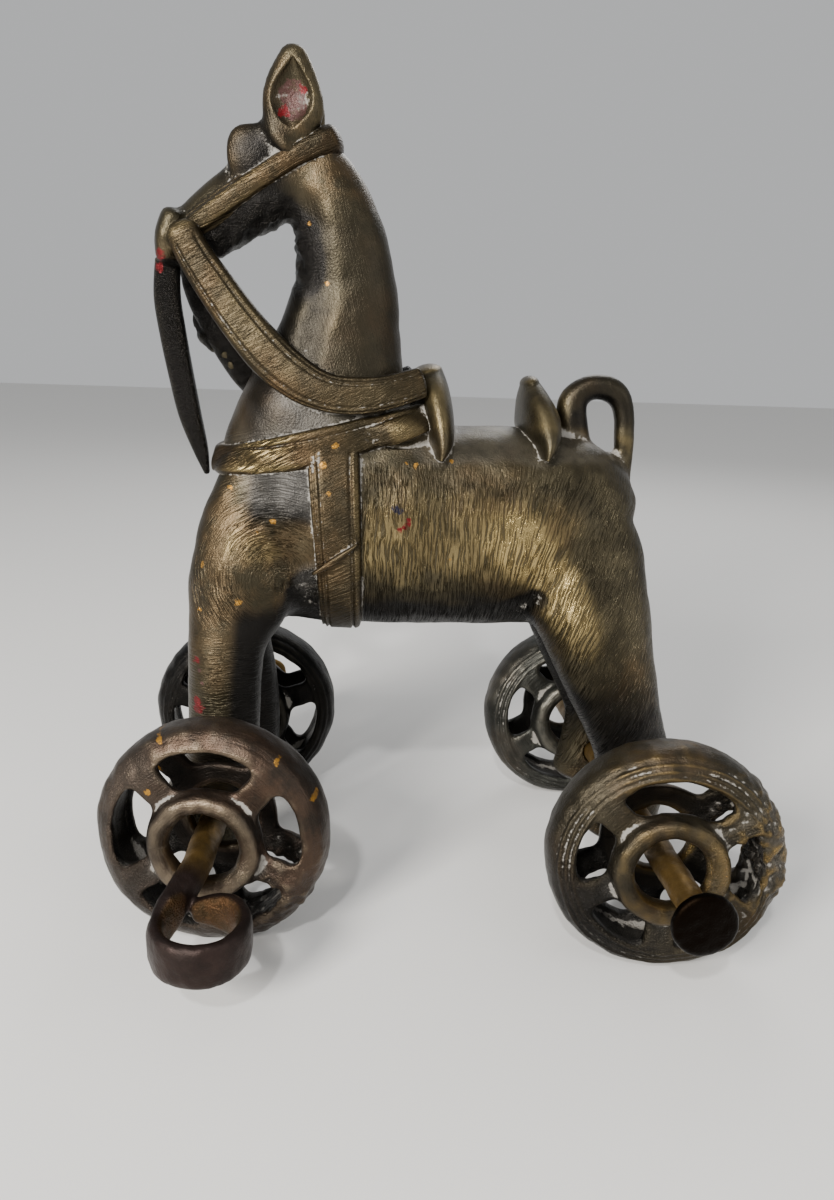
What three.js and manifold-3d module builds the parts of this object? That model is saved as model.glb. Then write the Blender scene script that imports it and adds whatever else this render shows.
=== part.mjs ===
// A cast brass horse on four hollow cage wheels, the pull toy of a temple or a household shrine.
// Millimetres, +Z up. The horse faces -X and its left side is -Y. The origin is on the ground,
// below the middle of the whole toy.
import * as THREE from "three";
import { mergeVertices } from "three/addons/utils/BufferGeometryUtils.js";
import Module from "manifold-3d";

const wasm = await Module();
wasm.setup();

// Wheels: a barrel-shaped cage of five spokes on each face, with a collared hub hole.
const WHEEL_RADIUS = 22;
const WHEEL_SIDES = 18;
const HOLLOW_SIDES = 10;
const TREAD_HALF = 2.2;
const HUB_HALF = 8.7;
const HUB_OUTER = 9.8;
const HUB_BORE = 6.5;
const COLLAR_STEP = 0.3;
const COLLAR_FOOT_HALF = 7.4;
const SHOULDER_RADIUS = 19;
const SHOULDER_HALF = 5.5;
const CAGE_WALL = 4;
const HOLLOW_HALF = 5.4;
const HOLLOW_RIM_HALF = 3.4;
const SPOKE_WIDTH = 5.6;
const WINDOW_INNER = 10.7;
const WINDOW_OUTER = 17.8;
// A flat of the tread is lowest, so the axis is nearer to the ground than the radius.
const AXIS_HEIGHT = WHEEL_RADIUS * Math.cos(Math.PI / WHEEL_SIDES);

// Where each wheel stands on its axle, how far its axis is turned off the true one, and where its
// spokes are, all in degrees. The cages were made by hand, so their spokes are unevenly spaced.
const WHEELS = {
  wheel_front_left: { x: -41.1, y: -31.4, toe: 9, spokes: [48, 133, 212, 275, 338] },
  wheel_front_right: { x: -40.7, y: 31.4, toe: -1, spokes: [20, 95, 163, 239, 310] },
  wheel_rear_left: { x: 41.5, y: -41.7, toe: 5.8, spokes: [37, 137, 203, 268, 326] },
  wheel_rear_right: { x: 40.7, y: 29, toe: 0, spokes: [66, 139, 210, 285, 350] },
};

// Axles: iron rods through the feet, with room to spare in the wheels' hubs.
const ROD_RADIUS = 2.7;
const ROD_SIDES = 10;
const ROD_GAP = 0.35;
const HOLE_REACH = 30;
const HALF_SPAN = 64;
const FRONT_AXLE_X = -40.8;
const FRONT_AXLE_SKEW = 0.06;
const FRONT_AXLE_HEIGHT = 19.1;
const REAR_AXLE_X = 42.4;
const REAR_AXLE_HEIGHT = 19.3;
const REAR_HEAD_Y = -61;
const REAR_FAR_END_Y = 52;
const FRONT_SHANK_END_Y = -35;
const HEAD_RADIUS = 5.8;
const PEEN_RADIUS = 4.4;
const HEAD_THICKNESS = 2.2;
const HEAD_SIDES = 12;

// The pull eye at the front axle's near end: a flattened strip curled round an upright hole.
const EYE_RADIUS = 8.6;
const EYE_X = -40.5;
const EYE_Y = EYE_RADIUS - HALF_SPAN;
const EYE_Z = 14.8;
const STRIP_HALF_HEIGHT = 3.2;
const STRIP_HALF_THICKNESS = 1.35;
const EYE_START = THREE.MathUtils.degToRad(166);
const EYE_END = THREE.MathUtils.degToRad(452);
const EYE_STEPS = 10;

// The horse: its straps stand proud of the body by STRAP_PROUD.
const STRAP_PROUD = 1.4;
const STRAP_CUTTER_DEPTH = 60;
const BODY_SIDES = 14;
const NECK_SIDES = 12;
const LIMB_SIDES = 10;
const BAND_SIDES = 8;
const CORD_SIDES = 6;
const FAR_LEG_SHIFT = 3.4;
const FAR_REIN_SAG = new THREE.Vector3(-4.4, 0, -4.2);

const BRASS = new THREE.MeshStandardMaterial({ color: 0x4a4232, roughness: 0.45, metalness: 0.85 });
const WHEEL_BRASS = new THREE.MeshStandardMaterial({ color: 0x423b32, roughness: 0.5, metalness: 0.8 });
const IRON = new THREE.MeshStandardMaterial({ color: 0x6b4a22, roughness: 0.55, metalness: 0.8 });

// A round end adds two rings: how far out each one is, and its width, as shares of the end's.
const END_RINGS = [
  [0.62, 0.78],
  [0.95, 0.4],
];

const ACROSS = new THREE.Vector3(0, 1, 0);
const UP = new THREE.Vector3(0, 0, 1);

// Numbers

// A Catmull-Rom curve through rows of numbers, read at t from 0 to 1.
function through(rows, t) {
  const place = t * (rows.length - 1);
  const i = Math.min(Math.floor(place), rows.length - 2);
  const u = place - i;
  const row = (k) => rows[THREE.MathUtils.clamp(k, 0, rows.length - 1)];
  return rows[0].map((_, c) => {
    const [a, b, d, e] = [row(i - 1)[c], row(i)[c], row(i + 1)[c], row(i + 2)[c]];
    const slope = 2 * a - 5 * b + 4 * d - e;
    return 0.5 * (2 * b + (d - a) * u + slope * u * u + (3 * b - a - 3 * d + e) * u ** 3);
  });
}

// A point of a superellipse of half sizes a and b: power 2 is an ellipse, more is squarer.
function superellipse(a, b, power, angle) {
  const [c, s] = [Math.cos(angle), Math.sin(angle)];
  const round = (v) => Math.sign(v) * Math.abs(v) ** (2 / power);
  return [a * round(c), b * round(s)];
}

// Solids

// A closed geometry as a solid, with its faces turned outwards.
function solidOf(geometry) {
  const bare = geometry.clone();
  bare.deleteAttribute("normal");
  bare.deleteAttribute("uv");
  const merged = mergeVertices(bare, 1e-4);
  const mesh = {
    numProp: 3,
    vertProperties: merged.attributes.position.array,
    triVerts: new Uint32Array(merged.index.array),
  };
  const made = new wasm.Manifold(new wasm.Mesh(mesh));
  if (made.volume() > 0) return made;
  mesh.triVerts.reverse();
  return new wasm.Manifold(new wasm.Mesh(mesh));
}

const joined = (solids) => wasm.Manifold.union(solids);
const mirrored = (solid) => solid.mirror([0, 1, 0]);

// A named mesh of a solid.
function meshOf(name, solid, material) {
  const { vertProperties, triVerts } = solid.getMesh();
  const geometry = new THREE.BufferGeometry()
    .setAttribute("position", new THREE.BufferAttribute(vertProperties, 3))
    .setIndex(new THREE.BufferAttribute(triVerts, 1));
  geometry.computeVertexNormals();
  const mesh = new THREE.Mesh(geometry, material);
  mesh.name = name;
  return mesh;
}

// Rings of points, all of one count, skinned into a closed surface with a fan on each end.
function skinned(rings) {
  const sides = rings[0].length;
  const middle = (ring) =>
    ring.reduce((sum, p) => sum.add(p), new THREE.Vector3()).divideScalar(sides);
  const points = [...rings.flat(), middle(rings[0]), middle(rings.at(-1))];
  const last = (rings.length - 1) * sides;
  const index = [];
  for (let i = 0; i < sides; i++) {
    const j = (i + 1) % sides;
    for (let row = 0; row < last; row += sides) {
      index.push(row + i, row + j, row + sides + j, row + i, row + sides + j, row + sides + i);
    }
    index.push(points.length - 2, j, i, points.length - 1, last + i, last + j);
  }
  const geometry = new THREE.BufferGeometry().setFromPoints(points);
  geometry.setIndex(index);
  return geometry;
}

// A limb: superelliptic sections along a curve. Each row is x, y, z, the half size along `side`,
// the half size across that, and optionally the power. `ends` are the lengths of its round ends.
function limb(rows, { side = ACROSS, sides = LIMB_SIDES, steps = 10, grow = 0, ends = [0, 0] } = {}) {
  const full = rows.map((row) => (row.length > 5 ? row : [...row, 2.2]));
  const at = (t) => new THREE.Vector3(...through(full, t).slice(0, 3));
  const rings = [];
  const ring = (t, along, share) => {
    const [x, y, z, a, b, power] = through(full, t);
    const tangent = at(Math.min(t + 0.01, 1)).sub(at(Math.max(t - 0.01, 0))).normalize();
    const u = side.clone().addScaledVector(tangent, -side.dot(tangent)).normalize();
    const v = new THREE.Vector3().crossVectors(tangent, u);
    const centre = new THREE.Vector3(x, y, z).addScaledVector(tangent, along);
    rings.push(
      Array.from({ length: sides }, (_, i) => {
        const angle = (2 * Math.PI * (i + 0.5)) / sides;
        const [p, q] = superellipse((a + grow) * share, (b + grow) * share, power, angle);
        return centre.clone().addScaledVector(u, p).addScaledVector(v, q);
      }),
    );
  };
  if (ends[0]) [...END_RINGS].reverse().forEach(([out, share]) => ring(0, -ends[0] * out, share));
  for (let i = 0; i <= steps; i++) ring(i / steps, 0, 1);
  if (ends[1]) END_RINGS.forEach(([out, share]) => ring(1, ends[1] * out, share));
  return solidOf(skinned(rings));
}

// A plate cut to an outline of [x, z] points and as thick as `depth`, centred on y = 0.
function plate(outline, depth) {
  const shape = new THREE.Shape(outline.map(([x, z]) => new THREE.Vector2(x, z)));
  const geometry = new THREE.ExtrudeGeometry(shape, { depth, bevelEnabled: false });
  geometry.translate(0, 0, -depth / 2);
  geometry.rotateX(Math.PI / 2);
  return solidOf(geometry);
}

// An egg of three half sizes.
function egg([x, y, z], [a, b, c], sides = 12) {
  const geometry = new THREE.SphereGeometry(1, sides, Math.round(sides * 0.6));
  geometry.scale(a, b, c);
  geometry.translate(x, y, z);
  return solidOf(geometry);
}

// A turned piece about the Y axis: the profile holds [radius, y] points.
function turned(profile, sides) {
  const points = profile.map(([r, y]) => new THREE.Vector2(r, y));
  const geometry = new THREE.LatheGeometry(points, sides);
  geometry.rotateY(Math.PI / sides);
  return solidOf(geometry);
}

// Axles

// The front axle's centre line where it crosses y.
const frontAxleX = (y) => FRONT_AXLE_X + FRONT_AXLE_SKEW * y;

function nailHead(x, y, z, radius, outward) {
  const profile = [
    [0, -HEAD_THICKNESS / 2],
    [radius * 0.92, -HEAD_THICKNESS / 2],
    [radius, 0],
    [radius * 0.9, HEAD_THICKNESS * 0.36],
    [0, HEAD_THICKNESS / 2],
  ];
  const head = turned(profile, HEAD_SIDES);
  return (outward > 0 ? head : mirrored(head)).translate([x, y, z]);
}

// A straight stretch of rod between two values of y.
function rod(xAt, z, from, to, radius) {
  const rows = [from, to].map((y) => [xAt(y), y, z, radius, radius, 2]);
  return limb(rows, { side: UP, sides: ROD_SIDES, steps: 1 });
}

function frontAxle() {
  const far = HALF_SPAN - HEAD_THICKNESS / 2;
  const centreRadius = EYE_RADIUS - STRIP_HALF_THICKNESS;
  const rows = [
    ...[-34, -41].map((y) => [frontAxleX(y), y, FRONT_AXLE_HEIGHT, ROD_RADIUS, ROD_RADIUS, 2]),
    [-44.3, -45.5, FRONT_AXLE_HEIGHT - 0.7, 2.9, 2.4, 2.2],
    [-45.9, -49.5, FRONT_AXLE_HEIGHT - 2.2, 3.1, 1.9, 2.6],
  ];
  for (let i = 0; i <= EYE_STEPS; i++) {
    const angle = THREE.MathUtils.lerp(EYE_START, EYE_END, i / EYE_STEPS);
    rows.push([
      EYE_X + centreRadius * Math.cos(angle),
      EYE_Y + centreRadius * Math.sin(angle),
      EYE_Z + 0.5 * Math.sin(angle),
      STRIP_HALF_HEIGHT,
      STRIP_HALF_THICKNESS,
      3,
    ]);
  }
  return joined([
    rod(frontAxleX, FRONT_AXLE_HEIGHT, FRONT_SHANK_END_Y, far, ROD_RADIUS),
    limb(rows, { side: UP, sides: BAND_SIDES, steps: rows.length - 1 }),
    nailHead(frontAxleX(far), far, FRONT_AXLE_HEIGHT, PEEN_RADIUS, 1),
  ]);
}

function rearAxle() {
  return joined([
    rod(() => REAR_AXLE_X, REAR_AXLE_HEIGHT, REAR_HEAD_Y, REAR_FAR_END_Y, ROD_RADIUS),
    nailHead(REAR_AXLE_X, REAR_HEAD_Y, REAR_AXLE_HEIGHT, HEAD_RADIUS, -1),
    nailHead(REAR_AXLE_X, REAR_FAR_END_Y, REAR_AXLE_HEIGHT, PEEN_RADIUS, 1),
  ]);
}

// Wheels

// One window of the cage, seen along the axle: the space between two spokes, given in degrees.
function windowOutline(from, to) {
  const arc = (radius, steps) => {
    const spoke = Math.asin(SPOKE_WIDTH / 2 / radius);
    const [first, last] = [THREE.MathUtils.degToRad(from) + spoke, THREE.MathUtils.degToRad(to) - spoke];
    return Array.from({ length: steps + 1 }, (_, i) => {
      const angle = THREE.MathUtils.lerp(first, last, i / steps);
      return [radius * Math.cos(angle), radius * Math.sin(angle)];
    });
  };
  return [...arc(WINDOW_OUTER, 2), ...arc(WINDOW_INNER, 1).reverse()];
}

function wheel({ x, y, toe, spokes }) {
  const half = [
    [HUB_BORE, HUB_HALF],
    [HUB_OUTER, HUB_HALF - COLLAR_STEP],
    [HUB_OUTER + COLLAR_STEP, COLLAR_FOOT_HALF],
    [SHOULDER_RADIUS, SHOULDER_HALF],
    [WHEEL_RADIUS, TREAD_HALF],
  ];
  const outside = [...half, ...half.map(([r, h]) => [r, -h]).reverse(), half[0]];
  const hollow = [
    [0, -HOLLOW_HALF],
    [WHEEL_RADIUS - CAGE_WALL, -HOLLOW_RIM_HALF],
    [WHEEL_RADIUS - CAGE_WALL, HOLLOW_RIM_HALF],
    [0, HOLLOW_HALF],
  ];
  const windows = spokes.map((spoke, i) => {
    const next = spokes[i + 1] ?? spokes[0] + 360;
    return plate(windowOutline(spoke, next), 2 * WHEEL_RADIUS);
  });
  const cage = turned(outside, WHEEL_SIDES)
    .subtract(turned(hollow, HOLLOW_SIDES))
    .subtract(joined(windows));
  return cage.rotate([0, 0, -toe]).translate([x, y, AXIS_HEIGHT]);
}

// Horse

// One foreleg from the shoulder to the blunt hoof, on the left side; `shift` sets its foot back.
function foreleg(shift, grow) {
  const rows = [
    [-30.5, -6.5, 82, 7, 11.5],
    [-34, -8.6, 72, 7.6, 12],
    [-37.6, -10.4, 62, 7.6, 10.4],
    [-40.1, -11.8, 53, 7, 8],
    [-40.8, -13, 46, 6.8, 7.3],
    [-40.8 + shift * 0.35, -13.6, 38, 6.5, 7.1],
    [-41.6 + shift * 0.9, -14, 28, 6.2, 7],
    [-44.4 + shift * 1.3, -14, 19.5, 6.3, 8.2],
    [-45.2 + shift * 1.3, -14, 11.5, 5.8, 7.6],
  ];
  return limb(rows, { steps: 8, grow, ends: [0, 2.6] });
}

// One hind leg from the haunch to the hoof, on the left side.
function hindLeg(grow) {
  const rows = [
    [25, -6, 80, 7.5, 13],
    [30, -8, 68, 8.2, 13.6],
    [34.2, -10.6, 56, 8, 11.5],
    [37, -12.2, 47, 7.2, 9.8],
    [40.1, -13.2, 38, 6.7, 8.4],
    [43.2, -13.9, 29, 6.3, 7.5],
    [43, -14, 20, 6.3, 7.6],
    [41.2, -14, 12, 5.8, 7.6],
  ];
  return limb(rows, { steps: 7, grow, ends: [0, 2.6] });
}

// Trunk, neck and legs, thicker all round by `grow`. The far fore foot stands back.
function body(grow = 0) {
  const trunk = [
    [-38.5, 0, 77.4, 12, 15],
    [-30, 0, 74.7, 15, 19.4],
    [-16, 0, 74, 15.6, 20.3],
    [2, 0, 74.1, 15.6, 20.5],
    [18, 0, 74.2, 15.6, 20.3],
    [29, 0, 73.6, 15.2, 18.8],
    [35.8, 0, 71.2, 12.6, 14.4],
  ];
  const neck = [
    [-23.8, 0, 82, 12, 19.6],
    [-21.6, 0, 94, 11.6, 18],
    [-20, 0, 104, 9.6, 14.6],
    [-18.6, 0, 113, 8.4, 11.7],
    [-18, 0, 121.5, 7.6, 9.8],
    [-19.4, 0, 130.5, 7.2, 8.6],
    [-22.5, 0, 138, 6.8, 7.2],
    [-25.5, 0, 142, 6, 6],
  ];
  const hind = hindLeg(grow);
  return joined([
    limb(trunk, { sides: BODY_SIDES, steps: 6, grow, ends: [6, 4.6] }),
    limb(neck, { sides: NECK_SIDES, steps: 7, grow, ends: [0, 2.5] }),
    foreleg(0, grow),
    mirrored(foreleg(FAR_LEG_SHIFT, grow)),
    hind,
    mirrored(hind),
  ]);
}

function head() {
  const skull = [
    [-21, 0, 141.5, 6.2, 5.5],
    [-28, 0, 140.2, 6.2, 7.4],
    [-34.8, 0, 136.6, 5.6, 7],
    [-40.8, 0, 132.4, 4.9, 6.4],
    [-46.2, 0, 128.6, 4.6, 5.6],
    [-50, 0, 126.8, 4.4, 4.8],
  ];
  const ear = [
    [-28.3, -4.2, 144, 2.4, 2.4],
    [-28, -5, 148, 2.6, 5.2],
    [-27.8, -5.4, 151.8, 2.6, 5.7],
    [-27.7, -5.6, 155.6, 2.2, 4],
    [-27.7, -5.6, 159.4, 1.6, 1.9],
  ];
  const earHollow = egg([-27.4, -8.4, 151.6], [3.9, 2.3, 5.6], 8);
  const nearEar = limb(ear, { sides: BAND_SIDES, steps: 5, ends: [0, 1.6] }).subtract(earHollow);
  return joined([
    limb(skull, { steps: 5, ends: [0, 2.4] }),
    egg([-35.2, 0, 144], [5, 4.8, 4.6], 8),
    nearEar,
    mirrored(nearEar),
  ]);
}

// Headstall: the cheek strap, the lobe of the noseband and the flat strap end hanging from it.
function headstall() {
  const cheekStrap = [
    [-20.4, 0, 146, 7, 2.7, 3],
    [-28.3, 0, 142, 7.4, 2.8, 3],
    [-35.4, 0, 137.4, 7, 2.8, 3],
    [-44.6, 0, 131, 6.2, 2.9, 3],
  ];
  const noseband = [
    [-49.6, 0, 131.6, 6.2, 2.4, 2.6],
    [-51, 0, 128, 6.6, 2.4, 2.6],
    [-51.2, 0, 124.4, 6, 2.2, 2.6],
  ];
  const hangingEnd = [
    [-51.6, 0, 124, 2.6, 2.3, 3],
    [-51.9, 0, 117.5, 2.3, 2.5, 3],
    [-51, 0, 110.5, 2.2, 2.5, 3],
    [-49.7, 0, 103, 2, 2.4, 3],
    [-48.2, 0, 95.4, 1.8, 2.2, 3],
    [-46.3, 0, 88.6, 1.5, 1.5, 3],
    [-45.2, 0, 84.2, 1, 0.6, 3],
  ];
  return [
    limb(cheekStrap, { sides: BAND_SIDES, steps: 4, ends: [1, 1.4] }),
    limb(noseband, { sides: BAND_SIDES, steps: 2, ends: [1.6, 1.4] }),
    limb(hangingEnd, { sides: CORD_SIDES, steps: 6 }),
  ];
}

// A rein from the muzzle to the withers, on the left side; `sag` hangs it lower in the middle.
function rein(sag = new THREE.Vector3()) {
  const rows = [
    [-48.6, -6.2, 129.2, 2, 3],
    [-45.8, -6.5, 124.8, 2, 3.3],
    [-42.7, -7, 120.4, 2.1, 3.6],
    [-37.2, -8.2, 113.1, 2.2, 3.9],
    [-31.8, -9.3, 107.2, 2.4, 4.2],
    [-26.4, -10.3, 103.1, 2.5, 4],
    [-21.4, -11, 101, 2.4, 3.6],
    [-16, -11.3, 100.5, 2.3, 3.5],
    [-10, -11.2, 101.3, 2.2, 3.2],
    [-3.6, -10.4, 103.2, 2, 2.9],
  ];
  const hung = rows.map((row, i) => {
    const share = Math.sin((Math.PI * i) / (rows.length - 1));
    const [x, y, z, ...size] = [...row, 3];
    return [x + sag.x * share, y, z + sag.z * share, ...size];
  });
  return limb(hung, { sides: BAND_SIDES, steps: 8, ends: [2.2, 0] });
}

// Breast strap and girth: bands of a thicker body, cut out by plates seen from the side.
function straps() {
  const breast = [
    [-56, 84.4],
    [-42, 85.4],
    [-25.3, 87.4],
    [-15.6, 89.8],
    [-1, 94.4],
    [-1, 98.8],
    [-17.5, 95.6],
    [-25.3, 93.9],
    [-41.9, 90.2],
    [-56, 89.4],
  ];
  const girth = [
    [-24.6, 89],
    [-22.4, 68.4],
    [-21.4, 48],
    [-14, 48],
    [-14.3, 68.4],
    [-15, 92],
  ];
  const cutters = joined([breast, girth].map((outline) => plate(outline, STRAP_CUTTER_DEPTH)));
  return body(STRAP_PROUD).intersect(cutters);
}

// Saddle bows: upright plates across the back, domed on top and tapered down both flanks.
function bow(rows) {
  return limb(rows, { sides: LIMB_SIDES, steps: 5, ends: [0, 1.6] });
}

function saddle() {
  const pommel = bow([
    [0.6, 0, 89, 15, 1.2],
    [1, 0, 92, 15, 2.6],
    [0.4, 0, 96.5, 13.6, 3.1],
    [-0.6, 0, 101.5, 10.4, 3],
    [-1.4, 0, 105, 6, 2.4],
  ]);
  const cantle = bow([
    [21.2, 0, 89.4, 14.4, 1.2],
    [21.8, 0, 92.4, 14.2, 3.1],
    [21.4, 0, 96, 12.2, 4],
    [20.2, 0, 100.4, 8.6, 3],
    [19.4, 0, 103.4, 4.6, 1.8],
  ]);
  return [pommel, cantle];
}

// The tail: a rod that rises from the croup and curls down behind, over a crupper's ridge.
function tail() {
  const hook = [
    [29.6, 0, 90, 3.2, 3.6],
    [28.6, 0, 96.5, 3, 3.2],
    [29, 0, 100.6, 2.7, 2.9],
    [31.6, 0, 102.9, 2.6, 2.7],
    [35, 0, 102.9, 2.4, 2.5],
    [38, 0, 101.2, 2.3, 2.3],
    [39.5, 0, 97.6, 2.2, 2.2],
    [40, 0, 92, 2.1, 2.1],
    [40.1, 0, 86, 2.1, 2.1],
    [40.2, 0, 82, 1.9, 1.9],
  ];
  const ridge = [
    [24, 0, 92.4, 3, 2.4],
    [30, 0, 91, 3.2, 2.4],
    [35.6, 0, 87, 3, 2.2],
    [39.4, 0, 81.6, 2.4, 1.6],
  ];
  return [
    limb(hook, { sides: BAND_SIDES, steps: 10, ends: [0, 1.9] }),
    limb(ridge, { sides: CORD_SIDES, steps: 3 }),
  ];
}

function horse() {
  const farRein = mirrored(rein(FAR_REIN_SAG));
  const casting = joined([
    body(), head(), straps(), rein(), farRein, ...headstall(), ...saddle(), ...tail(),
  ]);
  const holeRadius = ROD_RADIUS + ROD_GAP;
  return casting
    .subtract(rod(frontAxleX, FRONT_AXLE_HEIGHT, -HOLE_REACH, HOLE_REACH, holeRadius))
    .subtract(rod(() => REAR_AXLE_X, REAR_AXLE_HEIGHT, -HOLE_REACH, HOLE_REACH, holeRadius));
}

const figure = new THREE.Group();
figure.add(meshOf("horse", horse(), BRASS));
figure.add(meshOf("axle_front", frontAxle(), IRON));
figure.add(meshOf("axle_rear", rearAxle(), IRON));
for (const [name, place] of Object.entries(WHEELS)) {
  figure.add(meshOf(name, wheel(place), WHEEL_BRASS));
}

export default figure;
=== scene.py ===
"""A cast brass toy horse in harness, on four hollow cage wheels and two iron axles.

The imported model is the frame: it gives the joints, the box and the solids that these finer
surfaces stand for. Forms are given in millimetres, as the horse's own sizes, and become metres
when their mesh is made. The horse faces -X and its left side, which the camera sees, is -Y.
"""

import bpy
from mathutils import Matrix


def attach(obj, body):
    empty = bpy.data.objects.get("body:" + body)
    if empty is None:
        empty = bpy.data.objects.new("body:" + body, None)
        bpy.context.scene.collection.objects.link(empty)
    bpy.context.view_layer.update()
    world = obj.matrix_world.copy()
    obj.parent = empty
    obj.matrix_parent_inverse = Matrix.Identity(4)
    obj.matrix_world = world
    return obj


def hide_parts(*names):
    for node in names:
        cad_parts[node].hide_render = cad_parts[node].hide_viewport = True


bl_info = {
    "name": "Brass horse on wheels",
    "version": (1, 0, 0),
    "blender": (4, 5, 0),
    "location": "3D View > Sidebar > Brass horse",
    "description": "Builds a cast brass toy horse with its patina, wheels and axles, and a plain stage",
    "category": "Object",
}

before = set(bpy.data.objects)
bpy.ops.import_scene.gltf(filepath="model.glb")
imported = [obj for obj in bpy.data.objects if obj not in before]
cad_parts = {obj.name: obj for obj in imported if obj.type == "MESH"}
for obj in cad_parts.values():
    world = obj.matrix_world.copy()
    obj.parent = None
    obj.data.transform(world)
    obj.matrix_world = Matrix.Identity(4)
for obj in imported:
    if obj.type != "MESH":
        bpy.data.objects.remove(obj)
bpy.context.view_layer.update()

import math

import bmesh
import bpy
import numpy as np
from mathutils import Matrix, Vector

# Camera and stage.
PHOTO_HEIGHT = 1200
FOCAL_PIXELS = 950
SENSOR = 36
CAMERA_PLACE = Vector((-0.0191, -0.1942, 0.1101))
YAW, PITCH, ROLL = math.radians(5.09), math.radians(15), math.radians(2.04)
LIT_POINT = Vector((0, 0, 0.08))
FLOOR_HALF = 2000
SKY = (0.80, 0.81, 0.82, 1)
WARM_LIGHT = (1, 0.97, 0.92)

MM = 0.001
ACROSS = np.array([0.0, 1.0, 0.0])
UP = np.array([0.0, 0.0, 1.0])
HORSE_BODY = "horse_and_axles"

# Horse, as in the CAD model.
STRAP_PROUD = 1.4
ROUND_POWER = 2.2
FAR_LEG_SHIFT = 3.4
FAR_REIN_SAG = np.array([-4.4, 0.0, -4.2])

# Axles, as in the CAD model.
ROD_RADIUS = 2.7
HOLE_RADIUS = 3.05
HOLE_REACH = 30.0
FRONT_AXLE_X = -40.8
FRONT_AXLE_SKEW = 0.06
FRONT_AXLE_HEIGHT = 19.1
REAR_AXLE_X = 42.4
REAR_AXLE_HEIGHT = 19.3
REAR_HEAD_Y = -61
REAR_FAR_END_Y = 52
FRONT_SHANK_END_Y = -35
HALF_SPAN = 64
HEAD_RADIUS = 5.8
PEEN_RADIUS = 4.4
HEAD_THICKNESS = 2.2
EYE_RADIUS = 8.6
EYE_X = -40.5
EYE_Y = EYE_RADIUS - HALF_SPAN
EYE_Z = 14.8
EYE_START = 166
EYE_END = 463
STRIP_HALF_HEIGHT = 3.9
STRIP_HALF_THICKNESS = 1.35

# Wheels, as in the CAD model.
WHEEL_RADIUS = 22
TREAD_HALF = 2.2
HUB_HALF = 8.7
HUB_OUTER = 9.8
HUB_BORE = 6.5
SHOULDER_RADIUS = 19
SHOULDER_HALF = 5.5
CAGE_WALL = 4
HOLLOW_HALF = 5.4
HOLLOW_RIM_HALF = 3.4
SPOKE_WIDTH = 5.4
WHEEL_SOFTNESS = 0.0013
WINDOW_INNER = 10.9
THREAD_RADII = (17.4, 18.5, 19.6)
AXIS_HEIGHT = 21.66577
# rough is where a wheel's face is eroded, bright where its upper rim is rubbed and carries a painted
# highlight, and dark where it is black, in degrees.
WHEELS = {
    "wheel_front_left": {"body": "front_left_wheel", "x": -41.1, "y": -31.4, "toe": 9, "window": 17.5,
                         "spokes": [48, 133, 212, 275, 338], "rough": 320, "threads": 0.06,
                         "erosion": 0.7, "bright": 100, "dark": 230, "black": 0.5, "hub": 0.35},
    "wheel_front_right": {"body": "front_right_wheel", "x": -40.7, "y": 31.4, "toe": -1, "window": 17.4,
                          "spokes": [20, 95, 163, 239, 310], "rough": 250, "threads": 0.2,
                          "erosion": 0.6, "bright": 60, "dark": 240, "black": 0.5, "hub": 0.3},
    "wheel_rear_left": {"body": "rear_left_wheel", "x": 41.5, "y": -41.7, "toe": 5.8, "window": 16.6,
                        "spokes": [37, 137, 203, 268, 326], "rough": 8, "threads": 0.55,
                        "erosion": 1.5, "bright": 100, "dark": 225, "black": 0.9, "hub": 0.1},
    "wheel_rear_right": {"body": "rear_right_wheel", "x": 40.7, "y": 29, "toe": 0, "window": 16.6,
                         "spokes": [66, 139, 210, 285, 350], "rough": 300, "threads": 0.5,
                         "erosion": 0.5, "bright": 150, "dark": 300, "black": 0.4, "hub": 0.4},
}

# How the forms are made: the rings of an end's dome, the step along a curve that gives its
# direction, and for a strap how often it is drawn in and smoothed, and how deep its root is.
END_RINGS = 6
TANGENT_STEP = 0.004
STRAP_SLOT = 1
DRAWS = 4
BAND_SMOOTHING = 2
BAND_ROOT = 1.2

# How the skins are smoothed. THERE_AND_BACK takes out a skin's steps and keeps its form.
THERE_AND_BACK = (0.5, -0.5)
SKIN_ROUNDS = 8
FILL_ROUNDS = 62
AXLE_ROUNDS = 5
WHEEL_EDGE_ROUNDS = 16
WHEEL_HOLLOW_ROUNDS = 40
# An edge or groove counts in full where smoothing moves it FULL_EDGE millimetres, after SOFT_CURVE
# for an edge, and a broad hollow where it moves FULL_HOLLOW.
SOFT_CURVE = 0.02
FULL_EDGE = 0.1
FULL_HOLLOW = 0.7

# Places on the horse's side: lines and points of x and z.
SHOULDER_RIDGE = [[-37.1, 81.5], [-37, 77.6], [-38.4, 75.1], [-39.9, 70], [-42.5, 65.8], [-43.6, 62]]
SHOULDER_TOP = (-30.5, 66.5)
SHOULDER_LUMPS = (-28.9, 65.6)
SHOULDER_MUSCLE = (-35, 70.3)
FORELEG_CREASE = (-23.8, 63)
CRUST = (-24.4, 66)
# The thigh line below carries a painted highlight down the front of the thigh.
THIGH_HIGHLIGHT = [[15, 74.5], [20, 69.5], [26, 62], [30, 54], [33, 46]]
STIFLE_CREASE = [[12, 55], [17, 59], [21, 62]]
NECK_GROOVE = [[-25, 134], [-22.8, 128], [-22, 121], [-23, 114], [-25, 108]]
JAW_UNDER = [[-48, 124], [-42, 127.5], [-36.5, 131], [-31, 131.5], [-27.5, 128.5], [-26.5, 123]]
EAR_FEET = (-34, 143)

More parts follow.
